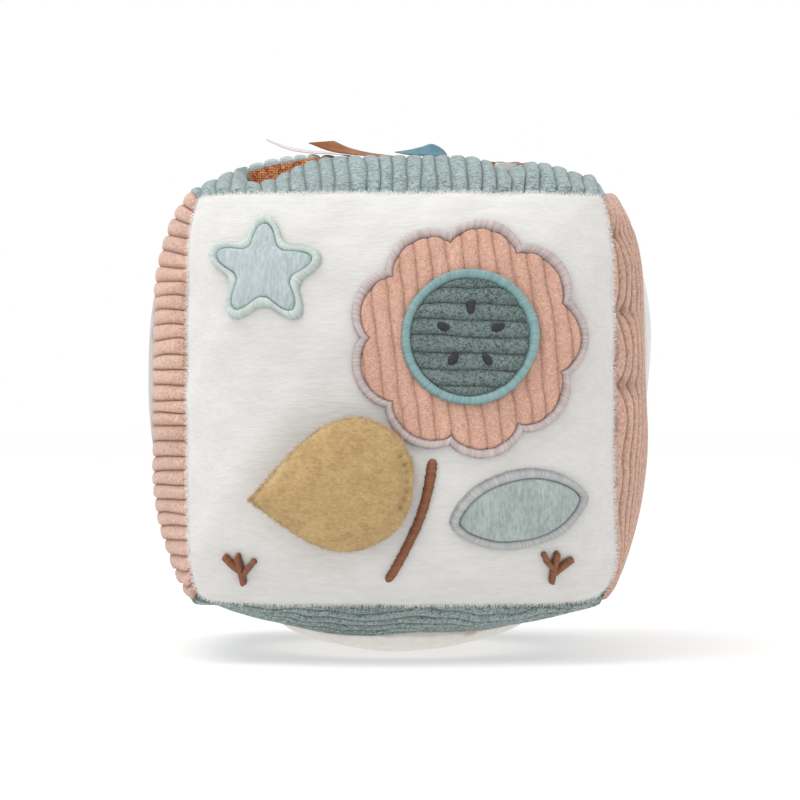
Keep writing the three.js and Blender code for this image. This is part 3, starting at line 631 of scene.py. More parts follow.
for face, inset in insets.items():
    share, angle = grid(np.append(np.linspace(0.004, 1, inset_rings), 1.002), full_turn(inset_columns))
    along, up = shares_over(face, *spot_at(inset["middle"], inset["radius"] * share, angle))
    flat = on_face(face, along, up, 0.0)
    rim = np.exp(-np.abs(1 - share) * inset["radius"] / rim_reach)
    tucks = tuck_height * rim * np.sin(tuck_count * angle + 2 * np.sin(3 * angle))
    round_up = np.maximum(1 - share**2, 0) ** (0.8 if face == "bottom" else 0.5)
    lift = (inset["proud"] + inset["sunk"]) * round_up + round_dent * dents(flat, 0.03, 51) + tucks
    lift = np.where(share > 1, -rim_under, lift - rim_draw * rim) - inset["sunk"]
    places = on_face(face, along, up, lift)
    places[..., 2] = np.maximum(places[..., 2], 0.0)
    disc = cloth(f"{face}_round", places, wrap=True)
    place_on(disc, "block", "printed_cotton", inset_cotton[face], f"{face}_inset")
    across = 2 * inset["radius"] + 0.004
    disc_area = math.pi / 4 * across**2

# Top panels: two pieces of sage corduroy, ribbed from front to back, that meet in the slit of
# the pocket. Their edges roll over into the slit; the front lip sags where the pocket gapes
# on the left, and outside the slit the two are sewn together.
slit_place = -0.008
slit_middle = -0.005
slit_half = 0.05
lining_half = 0.0495
mouth_half = 0.0052
mouth_power = 1.3
lip_roll = 0.0008
lip_drop = 0.0004
lip_steps = 7
sag_depth = 0.0083
sag_forward = 0.0022
sag_start = 0.0016
sag_fade = 0.002
sag_fade_growth = 0.022
gape_place = -0.03
gape_fade = 0.01
front_dips = ((-0.0475, 0.012, 0.016, 1.0), (-0.02, 0.01, 0.018, 0.12), (0.038, 0.008, 0.006, 0.42))
back_rises = ((-0.036, 0.016, 0.02, 0.0012), (0.034, 0.014, 0.01, -0.0009))


def mouth_at(x, half=mouth_half):
    """Half the width of the slit's mouth over its length, 0 at its ends and past them."""
    share = np.clip(np.abs(x - slit_middle) / lining_half, 0, 1)
    return half * (1 - share**2) ** (mouth_power / 2)


def humps(x, stops):
    """Soft humps along the slit, each with a place, a width to the left and the right and a height."""
    return sum(
        height * hump(x, place, np.where(x < place, left, right))
        for place, left, right, height in stops
    )


def sag_at(x, from_lip=0):
    """How far the front half sags; at its lip the sag starts short at the slit's left end."""
    fade = sag_fade + sag_fade_growth * from_lip
    start = np.clip(1 + (x - slit_middle + slit_half - sag_start) / fade, 0, 1)
    return humps(x, front_dips) * start


def smoothed(values, reach):
    """Each value averaged with as many neighbours as the reach on both sides."""
    width = 2 * reach + 1
    return np.convolve(np.pad(values, reach, mode="edge"), np.ones(width) / width, mode="valid")


def top_half(side, seed):
    """Rows of places over one half of the top, from its seam to its lip and over it into the slit."""
    phase, run = grid(
        np.linspace(0, wale_count, wale_count * wale_steps + 1), np.linspace(0, 1, wale_run_steps // 2)
    )
    along = 2 * phase / wale_count - 1
    along = along + 2 * steady(along, side * (1 - run)) * (1 - along**2) / wale_count
    reach = reach_of(unit_on("top", along, 0 * along))
    x = along * reach[..., 0]
    fuller = 1 + np.clip((gape_place - x) / gape_fade, -0.7, 1) * (side > 0)
    rib = 1 - (1 - wale(phase + 0.5)) * (1 - 0.6 * hump(along, 1, 0.12))
    opening = mouth_at(x)
    edge = slit_place + side * opening - (sag_forward * sag_at(x) if side < 0 else 0.0)
    edge_share = (edge + side * np.minimum(lip_roll * fuller, opening / 2)) / reach[..., 1]
    up = side + (edge_share - side) * run
    plain = on_face("top", along, up, 0.0)
    puckers = pucker * np.exp(-run * half_low[1] / pucker_reach) * dents(plain, pucker_size, seed)
    relief = wale_top + wale_height * (rib - 1) + puckers + panel_dent * dents(plain, panel_dent_size, 60)
    places = on_face("top", along, up, sewn("top", along, up, relief))
    if side < 0:
        slope = np.clip(run / 0.42, 0, 1)
        places[..., 2] -= sag_depth * sag_at(x, 1 - run) * slope**2 * (3 - 2 * slope)
    else:
        places[..., 2] += humps(x, back_rises) * np.clip(run * 2 - 1, 0, 1) ** 2
    lip = places[:, -1:]
    turn = np.linspace(0, 1, lip_steps + 1)[None, 1:]
    roll = np.minimum(lip_roll * fuller[:, :1], opening[:, :1] / 2 + 0.0002)
    over = np.repeat(lip, lip_steps, axis=1)
    bend = np.minimum(turn * 2, 1) * np.pi / 2
    over[..., 1] -= side * roll * np.sin(bend)
    over[..., 2] -= lip_roll * fuller[:, :1] * (1 - np.cos(bend))
    over[..., 2] -= lip_drop * fuller[:, :1] * np.maximum(turn * 2 - 1, 0)
    if side > 0:
        over[..., 2] += (smoothed(lip[:, 0, 2], 10)[:, None] - lip[..., 2]) * turn
    # Painted shade in the grooves, carried over the lip; it is weaker on the back lip.
    hollow = (1 - rib) ** 1.5
    hollow = np.hstack([hollow, np.repeat(hollow[:, -1:] * (1.0 if side < 0 else 0.3), lip_steps, axis=1)])
    # Painted light on the back lip where the slit gapes: its rolled edge lies in the slit's shade and is
    # coloured lighter.
    gape = np.clip(fuller - 0.3, 0, 1) * (x > slit_middle - slit_half) * (side > 0)
    lip_painted_light = np.repeat(gape[:, -1:], lip_steps, axis=1)
    opened = np.hstack([gape * np.clip((run - 0.97) / 0.03, 0, 1), lip_painted_light])
    return np.concatenate([places, over], axis=1), hollow, opened


lips = {}
for name, side, seed, fill in (("top_front", -1, 61, "front_fill"), ("top_back", 1, 64, "back_fill")):
    places, hollow, opened = top_half(side, seed)
    lips[side] = places[:, -1]
    half = cloth(f"{name}_corduroy", places, hollow=hollow, opened=opened)
    place_on(half, "block", "sage_corduroy", sage_above, f"{name}_panel")
    depth = half_low[1] + side * -slit_place + 0.008

# Pocket lining: a narrow bag of coarse rust cloth that hangs in the slit between the two wads of
# fill. Its rim is sewn along both lips, so the cloth shows where the slit gapes.
pocket_depth = 0.058
floor_share = 0.65
lining_rows = 46
lining_columns = 240
lining_fold = 0.0004
lining_up = 0.0003
lining_threads = 1200.0


def lip_places(side, x):
    """Where the rim of the lining is sewn on one lip, at places along the slit."""
    lip = lips[side]
    along, forward, level = lip[np.argsort(lip[:, 0])].T
    return np.stack([x, np.interp(x, along, forward), np.interp(x, along, smoothed(level, 9))], axis=-1)


turn = full_turn(lining_columns)
rim_x = slit_middle + (lining_half + 0.001) * np.cos(turn)
rim = np.where(np.sin(turn)[:, None] < 0, lip_places(-1, rim_x), lip_places(1, rim_x))
floor_y = slit_place + np.sign(np.sin(turn)) * mouth_at(rim_x) * floor_share
floor_z = rim[:, 2].max() - pocket_depth
down = (np.linspace(0, 1, lining_rows) ** 1.4)[:, None]
folds = lining_fold * np.sin(14 * turn + 3 * down) * np.minimum(down * 8, 1) * np.abs(np.sin(turn))
lining_y = rim[:, 1] + (floor_y - rim[:, 1]) * down + folds
lining_z = rim[:, 2] + lining_up + (floor_z - rim[:, 2]) * down
lining_places = np.stack(np.broadcast_arrays(rim_x, lining_y, lining_z), axis=-1)
lining_finish, lining_shader, lining_place = start_finish(
    "rust lining", Roughness=0.9, Sheen_Weight=0.2, Specular_IOR_Level=0.15
)
lining_inputs = {"Vector": lining_place, "Scale": lining_threads, "Randomness": 0.45}
lining_cell = lining_place.node("ShaderNodeTexVoronoi", {}, lining_inputs)
lining_fleck = lining_place.noise(0.0012, 2)
lining_thread = (1 - lining_cell) * 0.7 + lining_fleck * 0.6
lining_tone = lining_thread.between(0.5, 0.95).mix(rgb(146, 80, 44), rgb(252, 180, 124))
feed(lining_shader, lining_tone, None, lining_thread, 0.0006)
lining = cloth("pocket_cloth", lining_places, wrap=True, capped=(-1,))
place_on(lining, "block", "rust_lining", lining_finish, "pocket_lining")

# Sewn picture: patches of corduroy and plush laid on the front panel, a daisy with a round
# middle, a star and a leaf. They are puffed a little and held round their edges by satin stitches.
cloth_lift = 0.0004
patch_thick = 0.0015
daisy_place = (0.022, 0.02)
daisy_radius = 0.036
daisy_notch = 0.0045
daisy_petals = 9
middle_radius = 0.0185
star_place = (-0.044, 0.042)
star_radius = 0.0155
star_notch = 0.007
leaf_place = (0.039, -0.036)
leaf_half = (0.02, 0.01)
leaf_tilt = 0.2
patch_step = 0.00032
patch_wale = 0.0052
patch_edge = 0.0012
patch_puff = 0.0008
patch_dent = 0.0002
middle_base = cloth_lift + patch_thick + 0.0004


def daisy_line(angle, growth):
    scallop = np.abs(np.cos(daisy_petals * angle / 2)) ** 0.7
    return spot_at(daisy_place, daisy_radius + growth - daisy_notch * (1 - scallop), angle)


def middle_line(angle, growth):
    return spot_at(daisy_place, middle_radius + growth, angle)


def star_line(angle, growth):
    ray = ((1 + np.cos(5 * (angle - np.pi / 2))) / 2) ** 1.5
    return spot_at(star_place, star_radius + growth - star_notch * (1 - ray), angle)


def leaf_line(angle, growth):
    long = (leaf_half[0] + growth) * np.cos(angle)
    side = (leaf_half[1] + growth) * np.sign(np.sin(angle)) * np.abs(np.sin(angle)) ** 1.35
    across = leaf_place[0] + long * math.cos(leaf_tilt) - side * math.sin(leaf_tilt)
    return across, leaf_place[1] + long * math.sin(leaf_tilt) + side * math.cos(leaf_tilt)


def on_front(across, up, lift):
    """Places on the dressed front panel, which is a little dented, lifted off it."""
    along_share, up_share = shares_over("front", across, up)
    return on_face("front", along_share, up_share, lift + front_lift(along_share, up_share))


def patch(name, line, middle, radius, base, puff, ribs=None):
    """A patch of cloth inside a line; ribs gives the way across its wales and how deep they are."""
    rings, columns = int(radius / patch_step), int(2 * np.pi * radius / patch_step)
    share, angle = grid(np.linspace(0.01, 1, rings), full_turn(columns))
    edge_across, edge_up = line(angle, 0.0004)
    across = middle[0] + share * (edge_across - middle[0])
    up = middle[1] + share * (edge_up - middle[1])
    rise = patch_thick * np.minimum((1 - share) * radius / patch_edge, 1) ** 0.5
    lift = base + rise + puff * (1 - share**4)
    # Painted shade in the grooves of a ribbed patch.
    hollow = np.zeros_like(share)
    if ribs:
        (way_across, way_up), depth = ribs
        wobble = 0.00018 * dents(np.stack([across, up * 2, 0 * up], axis=-1), 0.02, 72)
        phase = (across * way_across + up * way_up + wobble) / patch_wale
        lift = lift + depth * (wale(phase) - 1)
        hollow = (1 - wale(phase)) ** 1.5
    lift = lift + patch_dent * dents(on_front(across, up, 0.0), 0.012, 71)
    return cloth(name, on_front(across, up, lift), wrap=True, hollow=hollow)


blue_plush = plush_finish("blue plush", rgb(182, 194, 196), rgb(158, 170, 172), (1, 1, 0.3), 0.2, 0.0005)
leaf_plush = plush_finish("leaf plush", rgb(168, 178, 176), rgb(140, 149, 147), (1, 1, 0.3), 0.2, 0.0005)
petal_finish = corduroy_finish(
    "petal corduroy", rgb(216, 173, 153), rgb(184, 142, 124), rgb(134, 94, 80), deep=0.8
)
centre_finish = corduroy_finish(
    "centre corduroy", rgb(124, 139, 136), rgb(66, 80, 78), rgb(30, 40, 39), deep=0.9
)
petal_ribs = ((1.0, 0.12), 0.0008)
centre_ribs = ((0.04, 1.0), 0.0011)
petals = patch("petal_cloth", daisy_line, daisy_place, daisy_radius, cloth_lift, 0.0, petal_ribs)
place_on(petals, "block", "pink_corduroy", petal_finish, "petal_patch")
centre = patch(
    "centre_cloth", middle_line, daisy_place, middle_radius, middle_base, patch_puff, centre_ribs
)
place_on(centre, "block", "sage_corduroy", centre_finish, "daisy_middle_patch")
star_cloth = patch("star_cloth", star_line, star_place, star_radius, cloth_lift, patch_puff)
place_on(star_cloth, "block", "blue_plush", blue_plush, "star_patch")
leaf_cloth = patch("leaf_cloth", leaf_line, leaf_place, leaf_half[0], cloth_lift, patch_puff)
place_on(leaf_cloth, "block", "blue_plush", leaf_plush, "leaf_patch")

# Satin stitches: close rows of embroidery thread over every edge of the picture, and the
# brown stem, sprigs and black seeds, stitched straight into the plush.
satin_width = 0.0032
satin_rise = 0.0019
thread_pitch = 0.00048
thread_steps = 5
thread_ridge = 0.00022
satin_across = 9


def thread_finish(name, light, shade, gloss=0.45):
    """Embroidery thread: each stitch a little lighter or darker, with a painted highlight on its top and
    painted shade between stitches and at the sides.
    """
    finish, shader, place = start_finish(
        name, Roughness=gloss, Sheen_Weight=0.3, Sheen_Roughness=0.4, Specular_IOR_Level=0.4
    )
    tone = (place.mark("strand") * 0.35 + (1 - place.mark("hollow")) * 0.75 - 0.1).between(0, 1)
    feed(shader, tone.mix(shade, light), None, place.noise(0.0003, 2), 0.00008)
    return finish


def satin(name, line, base, rise, seed, low=0.0, high=1.0):
    """Satin stitches along a line, which gives places for angles and for a share across them."""
    fine = np.linspace(low, high, 6000)
    across, up = line(fine, 0.5)
    run = np.concatenate([[0], np.cumsum(np.hypot(np.diff(across), np.diff(up)))])
    threads = int(run[-1] / thread_pitch)
    closed = math.hypot(across[0] - across[-1], up[0] - up[-1]) < thread_pitch
    count = threads * thread_steps
    spots = np.interp(np.linspace(0, run[-1], count, endpoint=not closed), run, fine)
    side = np.linspace(-1, 1, satin_across)[:, None]
    phase = np.arange(count)[None] / thread_steps + 0.35 * side
    thread = np.floor(phase).astype(int) % (threads + 2)
    chance = np.random.default_rng(seed)
    tone = chance.uniform(0, 1, threads + 2)[thread]
    reach = 1 + 0.06 * chance.normal(size=threads + 2)[thread] * (np.abs(side) > 0.8)
    places = [line(spots, 0.5 + 0.5 * s * r) for s, r in zip(side[:, 0], reach)]
    across, up = np.stack(places, axis=1)
    round_top = np.sqrt(np.maximum(1 - side**2, 0)) ** 0.8
    ridge = np.abs(np.sin(np.pi * phase)) ** 0.6
    if not closed:
        from_end = np.minimum(np.arange(count), count - 1 - np.arange(count))
        round_top = round_top * np.sqrt(np.minimum(from_end / 6, 1))
    lift = base + rise * round_top + thread_ridge * (ridge - 1) * np.minimum(round_top * 2, 1)
    # Painted shade between the stitches and towards both sides of the row, so the top reads as lit.
    hollow = np.clip((1 - ridge) * 0.45 + np.abs(side) ** 2.5 * 0.8, 0, 1)
    strip = on_front(across, up, lift)
    if not closed:
        strip, tone, hollow = strip.transpose(1, 0, 2), tone.T, hollow.T
    return cloth(name, strip, wrap=closed, strand=tone, hollow=hollow)


taupe_thread = thread_finish("taupe thread", rgb(206, 193, 190), rgb(130, 112, 110))
teal_thread = thread_finish("teal thread", rgb(140, 172, 172), rgb(84, 116, 118))
grey_thread = thread_finish("grey thread", rgb(188, 190, 190), rgb(120, 123, 124))
mint_thread = thread_finish("mint thread", rgb(208, 220, 214), rgb(154, 170, 164))
brown_thread = thread_finish("brown thread", rgb(150, 92, 58), rgb(78, 40, 20))
black_thread = thread_finish("black thread", rgb(40, 42, 44), rgb(10, 11, 12))
borders = (
    ("petal", daisy_line, cloth_lift, taupe_thread, "taupe_thread", "petal_border"),
    ("centre", middle_line, middle_base, teal_thread, "teal_thread", "daisy_middle_border"),
    ("star", star_line, cloth_lift, mint_thread, "mint_thread", "star_border"),
    ("leaf", leaf_line, cloth_lift, grey_thread, "grey_thread", "leaf_border"),
)
for number, (name, line, base, finish, slot, node) in enumerate(borders):
    edge = satin(
        f"{name}_stitches",
        lambda angle, share, line=line: line(angle, satin_width * share),
        base, satin_rise, 80 + number, 0, 2 * np.pi,
    )
    place_on(edge, "block", slot, finish, node)

stem_width = 0.0034
stem_lean = 0.28
stem_foot = (-0.004, -0.059)
stem_bend = 0.003
stem_reach = daisy_radius + satin_width + stem_width / 2
stem_top = (
    daisy_place[0] - stem_reach * math.sin(stem_lean),
    daisy_place[1] - stem_reach * math.cos(stem_lean),
)
sprig_width = 0.0021
sprig_tall = 0.011
sprig_base = 0.0007
sprig_line_shares = (
    ((0, 0), (0, 0.5), (0, 1)),
    ((0, 0.3), (0.25, 0.55), (0.5, 0.8)),
    ((0, 0.45), (-0.22, 0.65), (-0.42, 0.95)),
)
thread_rise = 0.0013


def round_ends(run, length):
    """The width of a row of stitches along its run, as a share: full but for its round ends."""
    past = np.clip((length - np.minimum(run, 1 - run)) / length, 0, 1)
    return np.sqrt(1 - 0.9 * past**2)


def stem_line(run, share):
    across = stem_top[0] + (stem_foot[0] - stem_top[0]) * run + stem_bend * np.sin(run * np.pi)
    up = stem_top[1] + (stem_foot[1] - stem_top[1]) * run
    return across + stem_width * (share - 0.5) * round_ends(run, 0.05), up


def twig_line(foot, lean, shares):
    """A line through three places of a sprig, with its width across its own run."""
    stops = np.array([(foot[0] + (s + lean * r) * sprig_tall, foot[1] + r * sprig_tall) for s, r in shares])
    way = stops[-1] - stops[0]
    side = np.array([-way[1], way[0]]) / np.hypot(*way)

    def line(run, share):
        centre = [np.interp(run, (0, 0.5, 1), stops[:, axis]) for axis in (0, 1)]
        wide = sprig_width * (share - 0.5) * round_ends(run, 0.16)
        return tuple(centre[axis] + wide * side[axis] for axis in (0, 1))

    return line


def joined(name, things):
    """Several small meshes as one piece."""
    bpy.ops.object.select_all(action="DESELECT")
    for thing in things:
        thing.select_set(True)
    bpy.context.view_layer.objects.active = things[0]
    bpy.ops.object.join()
    things[0].name = name
    return things[0]


stem = satin("stem_stitches", stem_line, cloth_lift, thread_rise, 90)
place_on(stem, "block", "brown_thread", brown_thread, "stem_stitch")
for name, foot, lean, seed in (("left", (-0.052, -0.062), -0.2, 91), ("right", (0.05, -0.061), 0.2, 95)):
    twigs = [
        satin("twig", twig_line(foot, lean, shares), sprig_base, thread_rise, seed + number)
        for number, shares in enumerate(sprig_line_shares)
    ]
    sprig = joined(f"{name}_sprig_stitches", twigs)
    place_on(sprig, "block", "brown_thread", brown_thread, f"sprig_stitch_{name}")

seed_ring = 0.009
seed_radius = 0.0019
seed_rise = 0.0011
seed_base = middle_base + patch_thick + 0.0004
for number in range(5):
    angle = 2 * math.pi * number / 5 + 0.3
    spot = (daisy_place[0] + seed_ring * math.cos(angle), daisy_place[1] + seed_ring * math.sin(angle))

    def seed_line(run, share, spot=spot, angle=angle):
        long = seed_radius * 1.15 * (2 * run - 1)
        wide = seed_radius * 1.5 * (share - 0.5) * np.sqrt(np.maximum(1.05 - (2 * run - 1) ** 2, 0))
        across = spot[0] + long * math.cos(angle) - wide * math.sin(angle)
        return across, spot[1] + long * math.sin(angle) + wide * math.cos(angle)

    stitch = satin(f"seed_{number + 1}_stitches", seed_line, seed_base, seed_rise, 100 + number)
    place_on(stitch, "block", "black_thread", black_thread, f"seed_stitch_{number + 1}")

# Leaf flap: two covers of mustard plush sewn together round the rim and stuffed, sewn down at
# its root by a dimpled row of stitches, so that the rest lifts like a page.
# The stuffing is blown up as cloth, and a dome of wadding and a sheet of crackling film lie in it.
flap_root = (stem_top[0] - 0.0057, stem_top[1] - 0.0057)
flap_length = 0.056
flap_belly = 0.017
flap_root_half = 0.0095
flap_droop = 0.006
flap_middle_share = 0.47
flap_opening = 0.11
flap_rim = 0.0016
flap_shrink = 0.995
flap_dome = {"front": 0.0032, "back": 0.0008}
flap_columns = 72
flap_rings = 12
flap_voxel = 0.0011
flap_pressure = 30.0
flap_most = 0.0022
flap_hinge_lift = 0.0053
flap_bend = 0.006
root_share, root_up = shares_over("front", np.array(flap_root[0]), np.array(flap_root[1]))
flap_hinge = on_face("front", root_share, root_up, flap_hinge_lift)


def flap_outline(columns):
    """The flap's outline in its own plane: x runs left from the sewn line, z is up."""
    turn = full_turn(columns)
    upper = turn < np.pi
    step = np.where(upper, turn, 2 * np.pi - turn) / np.pi
    run = np.sin(step * np.pi / 2) ** 1.2
    half = flap_belly * np.sin(np.pi * np.clip(run, 0, 1) ** 0.85) + flap_root_half * (1 - run)
    half = half * np.minimum(1, 0.35 + (run / 0.07) ** 0.5 * 0.65)
    return np.stack([-run * flap_length, np.where(upper, half, -half) - flap_droop * run**2], axis=-1)


def flap_at(outline, share, height):
    """Places of the flap: its outline drawn in to a share, at a height off its middle plane."""
    middle = np.array([-flap_middle_share * flap_length, -flap_droop * flap_middle_share**2])
    flat = middle + share[..., None] * (outline - middle)
    x, y, z = np.broadcast_arrays(flat[..., 0], -height, flat[..., 1])
    cosine, sine = math.cos(flap_opening), math.sin(flap_opening)
    return np.stack([x * cosine - y * sine, x * sine + y * cosine, z], axis=-1) + flap_hinge


def pillow(name, share, height):
    """A closed skin in the shape of the flap, through rings at shares of its outline and heights."""
    return cloth(name, flap_at(flap_outline(flap_columns), share, height), wrap=True, capped=(0, -1))


def shaped(thing, kind, **settings):
    """Adds a modifier, sets it and works it into the mesh."""
    made = thing.modifiers.new(kind.lower(), kind)
    for key, value in settings.items():
        setattr(made, key, value)
    bpy.context.view_layer.objects.active = thing
    bpy.ops.object.modifier_apply(modifier=made.name)


def mesh_places(thing):
    places = np.zeros(len(thing.data.vertices) * 3)
    thing.data.vertices.foreach_get("co", places)
    return places.reshape(-1, 3)


def set_places(thing, places):
    thing.data.vertices.foreach_set("co", places.ravel())
    thing.data.update()


def bend_on(thing, body, slot, finish, root, starts, ends):
    """Gives a piece its finish and works its placement into its mesh."""
    thing.data.materials.append(finish)
    x, y, z = root
    x - starts
    x - ends
    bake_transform(thing)


over_rim = np.linspace(-1, 1, 2 * flap_rings + 1)[:, None]
cover_share = flap_shrink * (1 - np.abs(over_rim) ** 1.6 * 0.99)
cover_height = np.sign(over_rim) * flap_rim * np.sqrt(np.maximum(1 - (cover_share / flap_shrink) ** 10, 0))
cover_height += np.where(over_rim > 0, flap_dome["front"], -flap_dome["back"]) * (1 - cover_share**2)
flap = pillow("leaf_flap_cover", cover_share, cover_height)
shaped(flap, "REMESH", mode="VOXEL", voxel_size=flap_voxel, use_smooth_shade=True)
before = mesh_places(flap)
blown = flap.modifiers.new("cloth", "CLOTH")
blown.settings.use_pressure = True
blown.settings.uniform_pressure_force = flap_pressure
blown.settings.effector_weights.gravity = 0
blown.settings.mass = 0.2
blown.settings.tension_stiffness = 12
blown.settings.compression_stiffness = 12
blown.settings.bending_stiffness = 0.05
for step in range(1, 21):
    bpy.context.scene.frame_set(step)
bpy.context.view_layer.objects.active = flap
bpy.ops.object.modifier_apply(modifier=blown.name)
bpy.context.scene.frame_set(1)
moved = (mesh_places(flap) - before) * np.array([0.2, 1, 0.2])
far = np.linalg.norm(moved, axis=1, keepdims=True)
set_places(flap, before + moved * np.minimum(1, flap_most / np.maximum(far, 1e-9)))
shaped(flap, "SUBSURF", levels=1)

tack_inset = 0.0032
tack_pitch = 0.0028
tack_count = 7
dimple_deep = 0.0014
seam_deep = 0.0005
flap_places = mesh_places(flap)
for number in range(tack_count):
    up = (number - (tack_count - 1) / 2) * tack_pitch
    bow = tack_inset * (1 + 0.9 * (up / flap_root_half) ** 2)
    stitch = np.array([flap_hinge[0] - bow, flap_hinge[1] - 0.003, flap_hinge[2] + up])
    gap = (flap_places - stitch)[:, [0, 2]]
    front_side = np.clip((flap_hinge[1] + 0.0005 - flap_places[:, 1]) / 0.001, 0, 1)
    dimple = np.exp(-(gap**2).sum(axis=1) / 0.001**2)
    seam = np.exp(-gap[:, 0] ** 2 / 0.0012**2 - gap[:, 1] ** 4 / 0.0015**4)
    flap_places[:, 1] += front_side * dimple_deep * dimple
    flap_places[:, 1] += front_side * seam_deep * seam
flap_places += 0.00015 * dents(flap_places, 0.006, 111)[:, None] * np.array([0, 1, 0])
set_places(flap, flap_places)
flap.data.polygons.foreach_set("use_smooth", np.ones(len(flap.data.polygons), dtype=bool))
mustard_plush = plush_finish(
    "mustard plush", rgb(184, 156, 111), rgb(160, 132, 89), (0.6, 1, 1), 0.15, 0.0003, sheen=0.3
)
bend_on(flap, "leaf_flap", "mustard_plush", mustard_plush, flap_hinge, 0.0, flap_bend)
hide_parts("flap_front_cover", "flap_back_cover")

flap_hairs = 2600
flap_hair_length = 0.0013
flap_hair_thick = 0.00007
hair_chance = np.random.default_rng(112)
hair_at = hair_chance.uniform(0, flap_columns * 8, flap_hairs)
fine_outline = flap_outline(flap_columns * 8)
hair_outline = fine_outline[hair_at.astype(int)]
hair_share = hair_chance.uniform(0.93, 0.97, flap_hairs)
hair_height = hair_chance.uniform(-0.001, 0.0016, flap_hairs)
hair_roots = flap_at(hair_outline, hair_share, hair_height)
hair_ways = flap_at(hair_outline, hair_share + 0.2, hair_height * 2.2) - hair_roots
hair_ways /= np.linalg.norm(hair_ways, axis=1, keepdims=True)
hairs = fibres("leaf_flap_pile", hair_roots, hair_ways, flap_hair_length, flap_hair_thick, 113, 0.35)
mustard_pile = drifting_finish(
    "mustard pile", rgb(206, 178, 130), rgb(176, 146, 98), 0.003, Roughness=0.9, Sheen_Weight=0.3
)
bend_on(hairs, "leaf_flap", "mustard_plush", mustard_pile, flap_hinge, 0.0, flap_bend)

fill_finish, fill_shader, fill_place = start_finish("fibre fill", Roughness=1.0, Specular_IOR_Level=0.1)
fill_tone = fill_place.noise(0.006, 4, 0.7)
fill_colour = fill_tone.between(0.35, 0.65).mix(rgb(222, 222, 220), rgb(250, 250, 249))
feed(fill_shader, fill_colour, None, fill_tone, 0.002)
wad_reach = 0.8
wad_dome = 0.0022
wad_turn = np.linspace(0, 1, flap_rings)[:, None]
wad_under = wad_reach * (1 - (1 - wad_turn) ** 2 * 0.99)
wad_over = wad_reach * (1 - wad_turn[1:] * 0.99)
wad_height = np.vstack([0 * wad_turn + 0.0004, 0.0006 + wad_dome * (1 - (wad_over / wad_reach) ** 2)])
wad = pillow("leaf_flap_wadding", np.vstack([wad_under, wad_over]), wad_height)
place_on(wad, "leaf_flap", "fibre_fill", fill_finish, "flap_wadding")


def tack_line(run, share):
    across = flap_root[0] - 0.001 - 0.0012 * (1 - share) + 0 * run
    return across, flap_root[1] + (2 * run - 1) * (flap_root_half - 0.003)


mustard_thread = thread_finish("mustard thread", rgb(206, 172, 116), rgb(140, 106, 62), 0.6)
tack_rise = 0.0028
tack = satin("flap_tack_stitches", tack_line, cloth_lift, tack_rise, 115)
place_on(tack, "block", "mustard_plush", mustard_thread, "flap_tack")
film_finish = drifting_finish(
    "crackling film", rgb(240, 244, 246), rgb(220, 228, 232), 0.01, Roughness=0.25, Alpha=0.6
)
frame["nodes"]["flap_film"].data.materials.clear()
frame["nodes"]["flap_film"].data.materials.append(film_finish)

# Ribbons: lengths of woven satin with cut ends, sewn in at the back of the slit, one white, one
# rust and one grey blue; a second white one is still tucked in, and only its end shows.
ribbon_half_thick = 0.00014
ribbon_stations = 60
ribbon_across = 7
ribbon_bend = (0.001, 0.006)
ribbon_edges = {
    "white": (
        ((-13, -8, 80), (-15.5, -7, 86.5), (-22, -5.5, 87.9),
         (-32, -4, 88.5), (-40, -2.5, 89.9), (-47.6, -1, 93.2)),
        ((-13, -7.5, 80), (-16.5, -2, 86.2), (-23, 0, 88.6),
         (-33, 2, 89.9), (-41, 3.5, 91.5), (-48.4, 5, 94.2)),
    ),
    "rust": (
        ((1, -8, 80), (-1, -7.5, 86.2), (-9, -5, 87.2),
         (-18, -2.5, 88.2), (-25.3, 0, 89.6), (-32.9, 2, 92.6)),
        ((3, -7.6, 80), (2.5, -4, 86.2), (-3.7, 0, 87.9),
         (-10.9, 3, 89.1), (-18.2, 6, 91.1), (-24, 9, 93.9)),
    ),
    "blue": (
        ((17, -9, 80), (16.4, -14, 86.2), (11.9, -17, 86.2),
         (7, -17, 86.5), (2.7, -17, 86.9), (-0.1, -17, 87.4)),
        ((14, -8.6, 80), (16.7, -9, 87.2), (12, -9, 91.1),
         (7.7, -9, 90.2), (3.5, -9, 89.2), (-1.9, -9, 88.4)),
    ),
}


def satin_ribbon_finish(name, light, shade):
    """Satin: long shining floats along the ribbon over fine cross ribs."""
    finish, shader, place = start_finish(
        name, Roughness=0.45, Sheen_Weight=0.05, Sheen_Roughness=0.3, Specular_IOR_Level=0.2
    )
    floats = place.scaled(0.15, 1, 1).noise(0.0006, 3)
    soft = place.noise(0.006, 2)
    tone = (floats * 0.4 + soft * 0.6).between(0.35, 0.65)
    feed(shader, tone.mix(shade, light), None, floats, 0.00006)
    return finish


def smooth_line(stops, count):
    """A smooth line through given stops, which passes through each of them."""
    stops = np.array(stops)
    padded = np.vstack([2 * stops[0] - stops[1], stops, 2 * stops[-1] - stops[-2]])
    spots = np.linspace(0, len(stops) - 1, count)
    part = np.minimum(spots.astype(int), len(stops) - 2)
    t = (spots - part)[:, None]
    a, b, c, d = (padded[part + shift] for shift in range(4))
    return 0.5 * (2 * b + (c - a) * t + (2 * a - 5 * b + 4 * c - d) * t**2 + (3 * b - a - 3 * c + d) * t**3)


